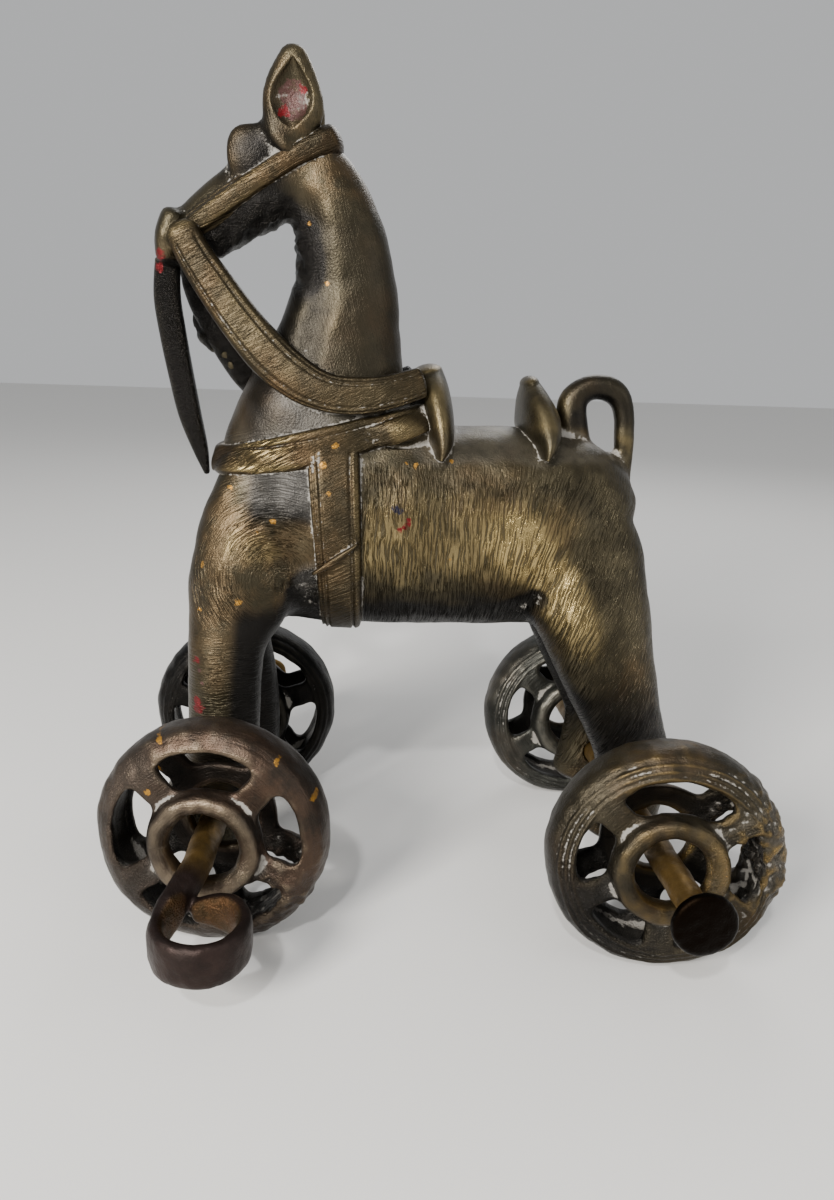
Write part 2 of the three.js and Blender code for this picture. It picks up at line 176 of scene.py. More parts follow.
# Colours that all pieces share, and paint marks: x, z and radius, on the left side.
DUST = (0.24, 0.225, 0.2, 1)
# BLACK is the black patina, and also the colour of the painted shade under the body, on the legs, in the
# creases and inside the wheels.
BLACK = (0.008, 0.007, 0.006, 1)
GOLD_FLAKE = (0.27, 0.13, 0.014, 1)
RED = (0.11, 0.001, 0.003, 1)
PINK = (0.055, 0.024, 0.02, 1)
BLUE_BLACK = (0.006, 0.006, 0.02, 1)
INK_SPOTS = [[-7.8, 79.8, 0.6], [-7, 79.6, 0.5]]
FLAKE_SPOTS = [
    [-6, 88.3, 0.35], [-4.1, 87.8, 0.3], [2.9, 88.9, 0.3], [-21.7, 87.6, 0.5], [-20.7, 82.7, 0.35],
    [-19.5, 91.3, 0.45], [-39.2, 82.8, 0.35], [-30.9, 77, 0.5], [-34, 74.7, 0.35], [-37.5, 61.8, 0.5],
    [-44.5, 68.3, 0.3], [-44.9, 59.8, 0.25], [2.9, 70.2, 0.35], [-24.8, 131, 0.25], [-21.3, 120.6, 0.25],
]
WHEEL_FLAKES = [[-50.1, 40.5, 0.5], [-52.1, 31.3, 0.6], [-22.4, 30.9, 0.6], [-29.1, 37.9, 0.5]]
RED_SPOTS = [
    [-5.4, 77.8, 0.4], [-5.5, 77, 0.4], [-6.1, 76.3, 0.4], [-6.9, 75.8, 0.4], [-45.6, 50, 0.6],
    [-45.2, 40.6, 1.0], [-45.6, 42.2, 0.8], [-52.2, 124.6, 1.0], [-52.8, 122.6, 0.8], [-26, 153.4, 0.7],
    [-29.3, 149.6, 1.0],
]
PINK_SPOTS = [
    [-27.9, 152.6, 2.2], [-27.2, 150.2, 2.1], [-45.4, 50.4, 0.3], [-44.9, 48.4, 0.3], [-44.5, 46, 0.25],
    [-45.3, 42, 0.3], [-45.2, 40, 0.3],
]
BRASS_RELIEF = 0.00055
BRASS_GRAIN = 0.22
IRON_RELIEF = 0.0002


# Numbers

def through(rows, t):
    """A Catmull-Rom curve through rows of numbers, read at every t from 0 to 1."""
    rows = np.asarray(rows, float)
    place = np.clip(t, 0, 1) * (len(rows) - 1)
    i = np.minimum(place.astype(int), len(rows) - 2)
    u = (place - i)[:, None]
    a, b, c, d = (rows[np.clip(i + k, 0, len(rows) - 1)] for k in (-1, 0, 1, 2))
    bend = (2 * a - 5 * b + 4 * c - d) * u**2 + (3 * b - a - 3 * c + d) * u**3
    return 0.5 * (2 * b + (c - a) * u + bend)


def unit(vectors):
    """Every vector divided by its own length."""
    return vectors / np.linalg.norm(vectors, axis=-1, keepdims=True)


def bump(x, centre, half):
    """A smooth hill, 1 at the centre and 0 from half away: (1 - d^2)^2 of the distance d in halves."""
    d = np.clip(np.abs(x - centre) / half, 0, 1)
    return (1 - d**2) ** 2


def step(x, low, high):
    """A smooth step from 0 at low to 1 at high: 3 t^2 - 2 t^3."""
    t = np.clip((x - low) / (high - low), 0, 1)
    return t * t * (3 - 2 * t)


def below(x, last, high):
    """1 up to last, falling smoothly to 0 at high."""
    return step(-x, -high, -last)


def within(x, low, first, last, high):
    """1 from first to last, falling smoothly to 0 at low and at high."""
    return step(x, low, first) * below(x, last, high)


def waves(points, length, seed, count=20):
    """Soft random relief, about -1 to 1: a sum of sine waves of one length in random directions."""
    draw = np.random.default_rng(seed)
    directions = unit(draw.normal(size=(count, 3))) * 2 * np.pi / length
    directions *= draw.uniform(0.6, 1.5, (count, 1))
    phases = draw.uniform(0, 2 * np.pi, count)
    return np.sin(points @ directions.T + phases).sum(1) / math.sqrt(count)


# Surfaces: each form is a pair of arrays, its points and its faces of three or four points

def closed_tube(grid, first, last):
    """Rings of points skinned in order, with a fan of triangles to a pole at each end."""
    rings, around = grid.shape[:2]
    points = np.concatenate([grid.reshape(-1, 3), [first], [last]])
    i = np.arange(around)
    j = (i + 1) % around
    row = (np.arange(rings - 1) * around)[:, None]
    quads = np.stack([row + i, row + j, row + around + j, row + around + i], -1).reshape(-1, 4)
    end = (rings - 1) * around
    starts = np.stack([j, i, np.full(around, rings * around)], -1)
    stops = np.stack([end + i, end + j, np.full(around, rings * around + 1)], -1)
    return points, quads.tolist() + starts.tolist() + stops.tolist()


def closed_ring(grid):
    """Rings of points skinned in order, with the last ring joined to the first."""
    rings, around = grid.shape[:2]
    i, r = np.arange(around), np.arange(rings)[:, None]
    j, s = (i + 1) % around, (r + 1) % rings
    quads = np.stack([r * around + i, r * around + j, s * around + j, s * around + i], -1)
    return grid.reshape(-1, 3), quads.reshape(-1, 4).tolist()


def together(forms):
    """Several forms as one pair of arrays."""
    points, faces, start = [], [], 0
    for some_points, some_faces in forms:
        points.append(some_points)
        faces += [[start + v for v in face] for face in some_faces]
        start += len(some_points)
    return np.concatenate(points), faces


def mirrored(form):
    """A form on the other side of the horse: y changes sign."""
    points, faces = form
    return points * [1, -1, 1], faces


def sweep(rows, around=48, along=60, side=ACROSS, ends=(0.0, 0.0), relief=None):
    """Superelliptic sections carried along a Catmull-Rom curve, closed at both ends.

    A row is x, y, z, the half size along side, the half size across it and the power, if not
    ROUND_POWER. A section has two faces: at w from -1 to 1 across, its half thickness is the
    half size times (1 - |w|^power)^(1 / power). relief(t, w) adds to both faces. An end is
    domed by rings of width sqrt(1 - h^2) that stand h of the end's length out.
    """
    rows = np.array([row if len(row) > 5 else [*row, ROUND_POWER] for row in rows], float)
    h = np.sin(np.linspace(0, np.pi / 2, END_RINGS + 1)[1:-1])
    before, after = (h if end else h[:0] for end in ends)
    t = np.concatenate([np.zeros(len(before)), np.linspace(0, 1, along), np.ones(len(after))])
    out = np.concatenate([-ends[0] * before[::-1], np.zeros(along), ends[1] * after])
    share = np.sqrt(1 - np.concatenate([before[::-1], np.zeros(along), after]) ** 2)
    values = through(rows, t)
    tangent = unit(through(rows[:, :3], t + TANGENT_STEP) - through(rows[:, :3], t - TANGENT_STEP))
    u = unit(side - tangent * (tangent @ side)[:, None])
    v = np.cross(tangent, u)
    centre = values[:, :3] + tangent * out[:, None]
    half = around // 2
    w = np.sin(np.pi / 2 * ((2 * np.arange(half) + 1) / half - 1))[None]
    power = values[:, 5:6]
    thick = values[:, 3:4] * (1 - np.abs(w) ** power) ** (1 / power)
    if relief is not None:
        thick = thick + relief(t[:, None], w)
    p = np.concatenate([thick, -thick[:, ::-1]], 1) * share[:, None]
    q = values[:, 4:5] * np.concatenate([w, w[:, ::-1]], 1) * share[:, None]
    grid = centre[:, None] + u[:, None] * p[..., None] + v[:, None] * q[..., None]
    poles = values[[0, -1], :3] + tangent[[0, -1]] * [[-ends[0]], [ends[1]]]
    return closed_tube(grid, *poles)


def egg(centre, halves, around=40, rings=20):
    """An ellipsoid: the unit sphere's rings of latitude times three half sizes."""
    latitude = np.linspace(-np.pi / 2, np.pi / 2, rings + 2)[1:-1, None]
    turn = np.linspace(0, 2 * np.pi, around, endpoint=False)[None]
    flat = np.cos(latitude)
    sphere = np.stack([flat * np.cos(turn), flat * np.sin(turn), np.sin(latitude) + 0 * turn], -1)
    pole = np.array([0, 0, halves[2]])
    return closed_tube(sphere * halves + centre, centre - pole, centre + pole)


def rod(x_at, z, start, stop, radius, around=40, along=40):
    """A round rod across the horse, between two values of y."""
    rows = [[x_at(y), y, z, radius, radius, 2] for y in (start, stop)]
    return sweep(rows, around, along, side=UP)


def front_axle_x(y):
    """Where the front axle's centre line crosses y."""
    return FRONT_AXLE_X + FRONT_AXLE_SKEW * y


def rear_axle_x(y):
    """Where the rear axle's centre line crosses y."""
    return REAR_AXLE_X


# Objects

def edited(mesh, change):
    """Opens a mesh, changes it and puts it back."""
    shell = bmesh.new()
    shell.from_mesh(mesh)
    shell.faces.ensure_lookup_table()
    change(shell)
    shell.to_mesh(mesh)
    shell.free()


def read(items, name, width=1, kind=np.int32):
    """One number, or a row of them, for every item of a mesh."""
    flat = np.empty(len(items) * width, kind)
    items.foreach_get(name, flat)
    return flat if width == 1 else flat.reshape(-1, width)


def new_object(name, form):
    """A mesh object of a form in millimetres, at the origin, with its faces turned outwards."""
    points, faces = form
    mesh = bpy.data.meshes.new(name)
    mesh.from_pydata(np.asarray(points) * MM, [], faces)
    edited(mesh, lambda shell: bmesh.ops.recalc_face_normals(shell, faces=shell.faces))
    piece = bpy.data.objects.new(name, mesh)
    bpy.context.scene.collection.objects.link(piece)
    return piece


def settle(piece):
    """The piece's modifiers made part of its mesh."""
    bpy.context.view_layer.update()
    made = piece.evaluated_get(bpy.context.evaluated_depsgraph_get())
    mesh = bpy.data.meshes.new_from_object(made)
    old = piece.data
    piece.modifiers.clear()
    piece.data = mesh
    bpy.data.meshes.remove(old)
    mesh.name = piece.name


def discard(piece):
    """Removes a piece that has done its work."""
    mesh = piece.data
    bpy.data.objects.remove(piece)
    bpy.data.meshes.remove(mesh)


def fused(piece, voxel):
    """The piece's overlapping forms made one even skin of small squares."""
    skin = piece.modifiers.new("skin", "REMESH")
    skin.mode = "VOXEL"
    skin.voxel_size = voxel
    settle(piece)


def clear_specks(piece):
    """Deletes the flat loose specks that a cut can leave: two faces on the same points.

    Every point has a random whole number, and such faces have the same sum of them.
    """
    mesh = piece.data
    marks = np.random.default_rng(9).integers(1, 2**40, len(mesh.vertices))
    sums = np.add.reduceat(marks[corners_of(mesh)[0]], read(mesh.polygons, "loop_start"))
    _, kind, count = np.unique(sums, return_inverse=True, return_counts=True)

    def change(shell):
        specks = [shell.faces[i] for i in np.flatnonzero(count[kind] > 1)]
        bmesh.ops.delete(shell, geom=specks, context="FACES")

    edited(mesh, change)


def cut_or_join(piece, form, operation, materials=(), slot=STRAP_SLOT):
    """Joins a closed form to the piece, or cuts it away, and removes the form."""
    tool = new_object("tool", form)
    for material in materials:
        tool.data.materials.append(material)
    if materials and operation == "UNION":
        slots = np.full(len(tool.data.polygons), slot, np.int32)
        tool.data.polygons.foreach_set("material_index", slots)
    boolean = piece.modifiers.new(operation.lower(), "BOOLEAN")
    boolean.operation = operation
    boolean.solver = "MANIFOLD"
    boolean.object = tool
    settle(piece)
    discard(tool)


def points_of(mesh):
    """The mesh's points as one array, in millimetres."""
    return read(mesh.vertices, "co", 3, np.float32).astype(float) / MM


def set_points(mesh, points):
    """Moves the mesh's points to an array in millimetres."""
    mesh.vertices.foreach_set("co", (points * MM).astype(np.float32).ravel())
    mesh.update()


def normals_of(mesh):
    """The mesh's point normals as one array."""
    return read(mesh.vertex_normals, "vector", 3, np.float32).astype(float)


def corners_of(mesh):
    """The point number of every face corner, and whether the corner's face is a strap's."""
    on_strap = read(mesh.polygons, "material_index") == STRAP_SLOT
    return read(mesh.loops, "vertex_index"), np.repeat(on_strap, read(mesh.polygons, "loop_total"))


def edges_of(mesh):
    """The two point numbers of every edge."""
    return read(mesh.edges, "vertices", 2)


def relaxed(values, edges, rounds, shares=(0.5,)):
    """Each round moves every value a share of the way to its neighbours' mean."""
    count = np.bincount(edges.ravel(), minlength=len(values))[:, None]
    for turn in range(rounds):
        total = np.zeros_like(values)
        for column in range(values.shape[1]):
            near, far = values[edges[:, 0], column], values[edges[:, 1], column]
            total[:, column] = np.bincount(edges[:, 0], far, len(values))
            total[:, column] += np.bincount(edges[:, 1], near, len(values))
        values = values + shares[turn % len(shares)] * (total / count - values)
    return values


def worked(piece, rounds, relief):
    """Smooths the piece, then moves its points along their normals by relief(points)."""
    points = relaxed(points_of(piece.data), edges_of(piece.data), rounds)
    set_points(piece.data, points)
    points += normals_of(piece.data) * relief(points)[:, None]
    set_points(piece.data, points)
    return points


# Horse

def foreleg(shift):
    """One foreleg from the shoulder to the blunt hoof, on the left side; shift sets its foot back."""
    rows = [
        [-30.5, -6.5, 82, 7, 11.5],
        [-34, -8.6, 72, 7.6, 12],
        [-37.6, -10.4, 62, 7.6, 10.4],
        [-40.1, -11.8, 53, 7, 8],
        [-40.8, -13, 46, 6.8, 7.3],
        [-40.8 + shift * 0.35, -13.6, 38, 6.5, 7.1],
        [-41.6 + shift * 0.9, -14, 28, 6.2, 7],
        [-44.4 + shift * 1.3, -14, 19.5, 6.3, 8.2],
        [-45.2 + shift * 1.3, -14, 11.5, 5.8, 7.6],
    ]
    return sweep(rows, ends=(5, 2.6))


def hind_leg():
    """One hind leg from the haunch to the hoof, on the left side."""
    rows = [
        [25, -6, 80, 7.5, 13],
        [30, -8, 68, 8.2, 13.6],
        [34.2, -10.6, 56, 8, 11.5],
        [37, -12.2, 47, 7.2, 9.8],
        [40.1, -13.2, 38, 6.7, 8.4],
        [43.2, -13.9, 29, 5.9, 7.5],
        [43, -14, 20, 6.3, 7.6],
        [41.2, -14, 12, 5.8, 7.6],
    ]
    return sweep(rows, ends=(5, 2.6))


def trunk():
    """The barrel of the horse, from the breast to the rump."""
    rows = [
        [-38.5, 0, 77.4, 12, 15],
        [-30, 0, 74.7, 15, 19.4],
        [-16, 0, 74, 15.6, 20.3],
        [2, 0, 74.1, 15.6, 20.5],
        [18, 0, 74.2, 15.6, 20.3],
        [29, 0, 73.6, 15.2, 18.8],
        [35.8, 0, 71.2, 12.6, 14.4],
    ]
    return sweep(rows, around=72, along=80, ends=(6, 4.6))


def neck():
    """The neck, upright and arched back at its crest."""
    rows = [
        [-23.8, 0, 82, 12, 19.6],
        [-21.6, 0, 94, 11.6, 18],
        [-20, 0, 104, 9.6, 14.6],
        [-18.6, 0, 113, 8.4, 11.7],
        [-18, 0, 121.5, 7.6, 9.8],
        [-19.4, 0, 130.5, 7.2, 8.6],
        [-22.5, 0, 138, 6.8, 7.2],
        [-25.5, 0, 142, 6, 6],
    ]
    return sweep(rows, ends=(0, 2.5))


def skull():
    """The head down to the muzzle, tucked in towards the neck."""
    rows = [
        [-21, 0, 141.5, 6.2, 5.5],
        [-28, 0, 140.2, 6.2, 7.4],
        [-34.8, 0, 136.6, 5.6, 7],
        [-40.8, 0, 132.4, 4.9, 6.4],
        [-46.2, 0, 128.6, 4.6, 5.6],
        [-50, 0, 126.8, 4.4, 4.8],
    ]
    return sweep(rows, ends=(2, 2.4))


def ear():
    """The left ear: an upright leaf with a teardrop hollow in its outer face."""
    rows = [
        [-28.3, -4.2, 144, 2.4, 2.4],
        [-28, -5, 148, 2.6, 5.2],
        [-27.8, -5.4, 151.8, 2.6, 5.7],
        [-27.7, -5.6, 155.8, 2.3, 4.5],
        [-27.6, -5.6, 159.2, 1.8, 2.5],
    ]
    return sweep(rows, around=56, along=60, ends=(0, 1.6))


def forelock():
    """The blunt knob of the forelock, flat at its sides."""
    rows = [[-34, y, 142.9, 5.3, 5.9, 2.7] for y in (-4.6, 4.6)]
    return sweep(rows, around=56, along=16, side=UP, ends=(1.4, 1.4))


def ear_cord():
    """The cord along the front of the left ear's foot."""
    rows = [
        [-32.8, -4.8, 150.8, 0.9, 0.9],
        [-32, -5.8, 148, 1.2, 1.1],
        [-30.4, -6.6, 145.2, 1.2, 1.2],
        [-28.6, -6.8, 143.4, 1, 1],
    ]
    return sweep(rows, around=24, along=30, ends=(0.8, 0.8))


def noseband():
    """The lobe of the noseband, wrapped round the muzzle."""
    rows = [
        [-49.6, 0, 131.6, 6.2, 2.4, 2.6],
        [-51, 0, 128, 6.6, 2.4, 2.6],
        [-51.2, 0, 124.4, 6, 2.2, 2.6],
    ]
    return sweep(rows, around=56, along=24, ends=(1.6, 1.4))


def strap_end():
    """The flat strap end that hangs from the muzzle, down to its point on the breast."""
    rows = [
        [-51.6, 0, 124, 2.6, 2.3, 3],
        [-51.9, 0, 117.5, 2.3, 2.5, 3],
        [-51, 0, 110.5, 2.2, 2.5, 3],
        [-49.7, 0, 103, 2, 2.4, 3],
        [-48.2, 0, 95.4, 1.8, 2.2, 3],
        [-46.3, 0, 88.6, 1.5, 1.5, 3],
        [-45.2, 0, 84.2, 1, 0.6, 3],
    ]
    return sweep(rows, around=24, along=50, ends=(0.8, 0.6))


def withers():
    """The low rise that the breast strap crosses in front of the saddle."""
    return egg([-7, 0, 93.8], [11, 11.8, 4.8])


def pommel():
    """The front saddle bow, an upright plate across the back."""
    rows = [
        [0.6, 0, 89, 15, 1.2],
        [1, 0, 92, 15, 2.9],
        [0.4, 0, 96.5, 13.8, 3.5],
        [-0.6, 0, 101.5, 11, 3.5],
        [-1.4, 0, 105, 6.8, 3],
    ]
    return sweep(rows, around=64, along=38, ends=(0, 1.6))


def cantle():
    """The rear saddle bow."""
    rows = [
        [21.2, 0, 89.4, 14.4, 1.2],
        [21.8, 0, 92.4, 14.2, 3.1],
        [21.4, 0, 96, 12.2, 4],
        [20.2, 0, 100.4, 8.6, 3],
        [19.4, 0, 103.4, 4.6, 1.8],
    ]
    return sweep(rows, around=64, along=38, ends=(0, 1.6))


def tail():
    """The tail, a rod that rises from the croup and curls down behind."""
    rows = [
        [29.6, 0, 90, 3.2, 3.6],
        [28.6, 0, 96.5, 3, 3.2],
        [29, 0, 100.6, 2.7, 2.9],
        [31.6, 0, 102.9, 2.6, 2.7],
        [35, 0, 102.9, 2.4, 2.5],
        [38, 0, 101.2, 2.3, 2.3],
        [39.5, 0, 97.6, 2.2, 2.2],
        [40, 0, 92, 2.1, 2.1],
        [40.1, 0, 86, 2.1, 2.1],
        [40.2, 0, 82, 1.9, 1.9],
    ]
    return sweep(rows, around=28, along=90, ends=(0, 1.9))


def croup_ridge():
    """The crupper's ridge, under the tail."""
    rows = [
        [24, 0, 92.4, 3, 2.4],
        [30, 0, 91, 3.2, 2.4],
        [35.6, 0, 87, 3, 2.2],
        [39.4, 0, 81.6, 2.4, 1.6],
    ]
    return sweep(rows, around=32, along=40, ends=(1, 1))


def cheek_relief(t, w):
    """Two grooves along the cheek strap's edges, which run out towards its top, and faint cuts."""
    grooves = -0.5 * step(t, 0.1, 0.3) * (bump(w, -0.66, 0.16) + bump(w, 0.68, 0.14))
    cuts = -0.07 * step(np.sin(210 * t + 5 * w), 0.3, 1) * below(np.abs(w), 0.4, 0.56)
    return grooves + cuts * step(t, 0.3, 0.45)


def cheek_strap():
    """The strap over the cheeks, from the poll to the muzzle."""
    rows = [
        [-20.6, 0, 146, 7, 3.0, 2.4],
        [-23, 0, 144.8, 7.4, 3.3, 2.6],
        [-28.3, 0, 142, 7.4, 3.1, 2.7],
        [-35.4, 0, 137.4, 7, 3.1, 2.7],
        [-43.8, 0, 131.6, 6.3, 2.9, 2.7],
        [-48.5, 0, 128.4, 4.8, 2.4, 2.7],
    ]
    return sweep(rows, around=64, along=90, ends=(1.8, 1.4), relief=cheek_relief)


def rein_relief(t, w):
    """A rein's lines: a cord along each edge, a groove inside it, and a middle with faint ticks."""
    shown = step(t, 0.02, 0.07)
    grooves = -0.42 * (bump(w, -0.62, 0.1) + bump(w, 0.60, 0.1))
    outer = -0.3 * step(t, 0.35, 0.5) * (bump(w, -0.84, 0.08) + bump(w, 0.82, 0.08))
    fade = below(t, 0.3, 0.62) * (0.6 + 0.4 * np.sin(37 * t) * np.sin(91 * t + 1))
    ticks = -0.09 * fade * step(np.sin(330 * t + 3 * w), 0.2, 1) * below(np.abs(w), 0.3, 0.48)
    return shown * (grooves + outer + ticks)


def rough_relief(t, w):
    """The far rein's face, left rough from the mould."""
    t, w = np.broadcast_arrays(t, w)
    points = np.stack([t * 85, w * 4, 0 * t], -1).reshape(-1, 3)
    return (0.16 * waves(points, 4, 31) + 0.12 * waves(points, 2, 32)).reshape(t.shape)


def rein(sag=np.zeros(3), relief=rein_relief, around=64, along=180):
    """The left rein from the muzzle to the withers; sag hangs it lower in the middle."""
    rows = np.array(
        [
            [-47.6, -6.2, 128.2, 2, 3.1, 2.8],
            [-45.6, -6.5, 124.6, 2, 3.3, 2.8],
            [-42.7, -7, 120.4, 2.1, 3.6, 3],
            [-37.2, -8.2, 113.1, 2.2, 3.9, 3],
            [-31.8, -9.3, 107.2, 2.4, 4.2, 3],
            [-26.4, -10.3, 103.1, 2.5, 4, 3],
            [-21.4, -11, 101, 2.4, 3.6, 3],
            [-16, -11.3, 100.5, 2.3, 3.5, 3],
            [-10, -11.2, 101.3, 2.2, 3.2, 3],
            [-3.6, -10.4, 103.2, 2, 2.9, 3],
        ]
    )
    rows[:, :3] += np.sin(np.linspace(0, np.pi, len(rows)))[:, None] * sag
    return sweep(rows, around, along, ends=(2.6, 1), relief=relief)


def band_over(piece, path, lane, inner, heights, ends=0.0, along=130, across=30):
    """A strap laid on the piece: a strip of points drawn in to its skin, then given thickness.

    path holds x, y, z and half width; lane is the strip's crosswise unit vector, and the points
    are drawn in at right angles to it. inner is a point inside the strap's loop. heights(t, w)
    is how far the strap's face stands out of the skin. A share of the strap at both ends, ends,
    keeps to the path.
    """
    t, w = np.linspace(0, 1, along), np.linspace(-1, 1, across)
    rows = through(path, t)
    start = rows[:, None, :3] + (rows[:, 3:4] * w)[..., None] * lane
    strip = new_object("strip", (start.reshape(-1, 3), sheet_faces(along, across)))
    wanted = start.reshape(-1, 3) @ lane
    held = np.repeat(1 - within(t, 0, ends, 1 - ends, 1), across)[:, None] if ends else 0
    for _ in range(DRAWS):
        wrap = strip.modifiers.new("wrap", "SHRINKWRAP")
        wrap.target = piece
        settle(strip)
        skin = points_of(strip.data)
        skin += (wanted - skin @ lane)[:, None] * lane
        skin = held * start.reshape(-1, 3) + (1 - held) * skin
        set_points(strip.data, skin)
    discard(strip)
    skin = skin.reshape(along, across, 3)
    for _ in range(BAND_SMOOTHING):
        skin[1:-1] = (skin[:-2] + 2 * skin[1:-1] + skin[2:]) / 4
    out = unit(np.cross(np.gradient(skin, axis=0), np.gradient(skin, axis=1)))
    out *= np.sign(np.sum(out * (skin - inner)))
    face = skin + out * heights(t[:, None], w[None])[..., None]
    rings = np.concatenate([face, (skin - out * BAND_ROOT)[:, ::-1]], 1)
    return closed_tube(rings, rings[0].mean(0), rings[-1].mean(0))


def sheet_faces(along, across):
    """The faces of an open sheet of points."""
    i, j = np.arange(across - 1), (np.arange(along - 1) * across)[:, None]
    return np.stack([j + i, j + i + 1, j + across + i + 1, j + across + i], -1).reshape(-1, 4).tolist()


def tucked(t):
    """1 along a strap, less at its two ends, which go in under another."""
    return 0.6 + 0.4 * within(t, 0, 0.03, 0.97, 1)


def breast_heights(t, w):
    """A flat strap with a groove in its upper third, which runs out towards the chest."""
    groove = within(t, 0.03, 0.08, 0.28, 0.34) + within(t, 0.66, 0.72, 0.92, 0.97)
    return STRAP_PROUD * (1 - np.abs(w) ** 8) ** 0.5 - 0.35 * groove * bump(w, 0.45, 0.14)


def breast_strap(piece):
    """The breast strap from wither to wither, round the front of the chest."""
    left = [
        [1.8, -9.4, 97.4, 2.1],
        [-8, -12.2, 94.8, 2.9],
        [-16, -14, 92.5, 3.4],
        [-25, -15, 90.3, 3.6],
        [-34, -14, 88.7, 3.2],
        [-41, -10, 87.7, 2.8],
        [-45, -5, 87.2, 2.8],
    ]
    right = [[x, -y, z, half] for x, y, z, half in reversed(left)]
    path = [*left, [-46, 0, 87.2, 2.5], *right]
    return band_over(piece, path, UP, np.array([-20.0, 0, 90]), breast_heights, ends=0.03)


def girth_heights(t, w):
    """A flat strap with two cords on its front edge and one on its rear edge."""
    grooves = bump(w, -0.82, 0.09) + 0.8 * bump(w, -0.6, 0.09) + bump(w, 0.6, 0.09)
    return tucked(t) * (STRAP_PROUD * (1 - np.abs(w) ** 8) ** 0.5 - 0.55 * grooves)


def girth(piece):
    """The girth, from one side of the breast strap to the other under the belly."""
    turn = np.linspace(-0.3 * np.pi, 1.3 * np.pi, 27)
    y, z = -19 * np.cos(turn), 74 - 23 * np.sin(turn)
    x = np.interp(z, [48, 68, 92], [-17.6, -18.5, -19.9])
    half = np.interp(z, [48, 68, 92], [4.0, 4.4, 5.1])
    inner = np.array([-18.0, 0, 74])
    path = np.stack([x, y, z, half], -1)
    return band_over(piece, path, np.array([1.0, 0, 0]), inner, girth_heights)


def girth_burr():
    """A short cord of metal left slanting across the girth."""
    rows = [[-23.1, -17, 67.5, 0.6, 0.4], [-19.4, -17.3, 70, 0.7, 0.7], [-15.3, -17.1, 73, 0.6, 0.3]]
    return sweep(rows, around=20, along=30, ends=(0.6, 0.6))


def ear_hollow():
    """What is scooped out of the left ear: a wide shallow scoop, and a narrow deep one with points."""
    rows = [
        [-27.7, -8.6, 146.2, 1.2, 0.8, 2],
        [-27.9, -8.8, 148.4, 2.4, 3.2, 2],
        [-27.9, -8.8, 151.2, 3.1, 4.3, 2],
        [-27.8, -8.8, 153.9, 2.9, 3.7, 2],
        [-27.7, -8.6, 156.4, 2.0, 1.9, 2],
        [-27.7, -8.5, 158.2, 1.2, 0.5, 2],
    ]
    return sweep(rows, around=40, along=40, ends=(0.4, 0.4))


def flash():
    """Ragged knobs of metal left along the far rein's lower edge."""
    draw = np.random.default_rng(7)
    t = np.linspace(0, 1, 22)
    x = -47.5 + 13.5 * t + draw.uniform(-0.5, 0.5, 22)
    z = 113.0 - 12.5 * t**0.75 + draw.uniform(-0.4, 0.9, 22)
    knobs = np.stack([x, draw.uniform(7.6, 9.6, 22), z], -1)
    return together([egg(knob, draw.uniform(0.9, 2.0, 3), 12, 7) for knob in knobs])


# Wheels and axles

def turned(profile, around=112):
    """A profile of radius and y turned about the Y axis, closed on itself: a ring of circles."""
    radius, y = np.asarray(profile, float).T
    turn = np.linspace(0, 2 * np.pi, around, endpoint=False)
    flat = np.stack([np.outer(radius, np.cos(turn)), np.outer(radius, np.sin(turn))], -1)
    return closed_ring(np.stack([flat[..., 0], y[:, None] + 0 * flat[..., 0], flat[..., 1]], -1))


def turned_disc(profile, around=64):
    """The same for a profile that starts and ends on the axis."""
    radius, y = np.asarray(profile, float)[1:-1].T
    turn = np.linspace(0, 2 * np.pi, around, endpoint=False)
    grid = np.stack(np.broadcast_arrays(radius[:, None] * np.cos(turn), y[:, None],
                                        radius[:, None] * np.sin(turn)), -1)
    return closed_tube(grid, [0, profile[0][1], 0], [0, profile[-1][1], 0])


def window(start, stop, outer, around=72):
    """What is cut out between two spokes: in radius and angle it is a superellipse of power 5."""
    turn = np.linspace(0, 2 * np.pi, around, endpoint=False)
    c, s = np.cos(turn), np.sin(turn)
    c, s = np.sign(c) * np.abs(c) ** 0.4, np.sign(s) * np.abs(s) ** 0.4
    radius = (WINDOW_INNER + outer) / 2 + c * (outer - WINDOW_INNER) / 2
    spoke = np.arcsin(SPOKE_WIDTH / 2 / radius)
    angle = (start + stop) / 2 + s * ((stop - start) / 2 - spoke)
    x, z = radius * np.cos(angle), radius * np.sin(angle)
    depths = np.linspace(-WHEEL_RADIUS, WHEEL_RADIUS, 9)
    rings = np.stack([np.stack([x, 0 * x + y, z], -1) for y in depths])
    return closed_tube(rings, rings[0].mean(0), rings[-1].mean(0))


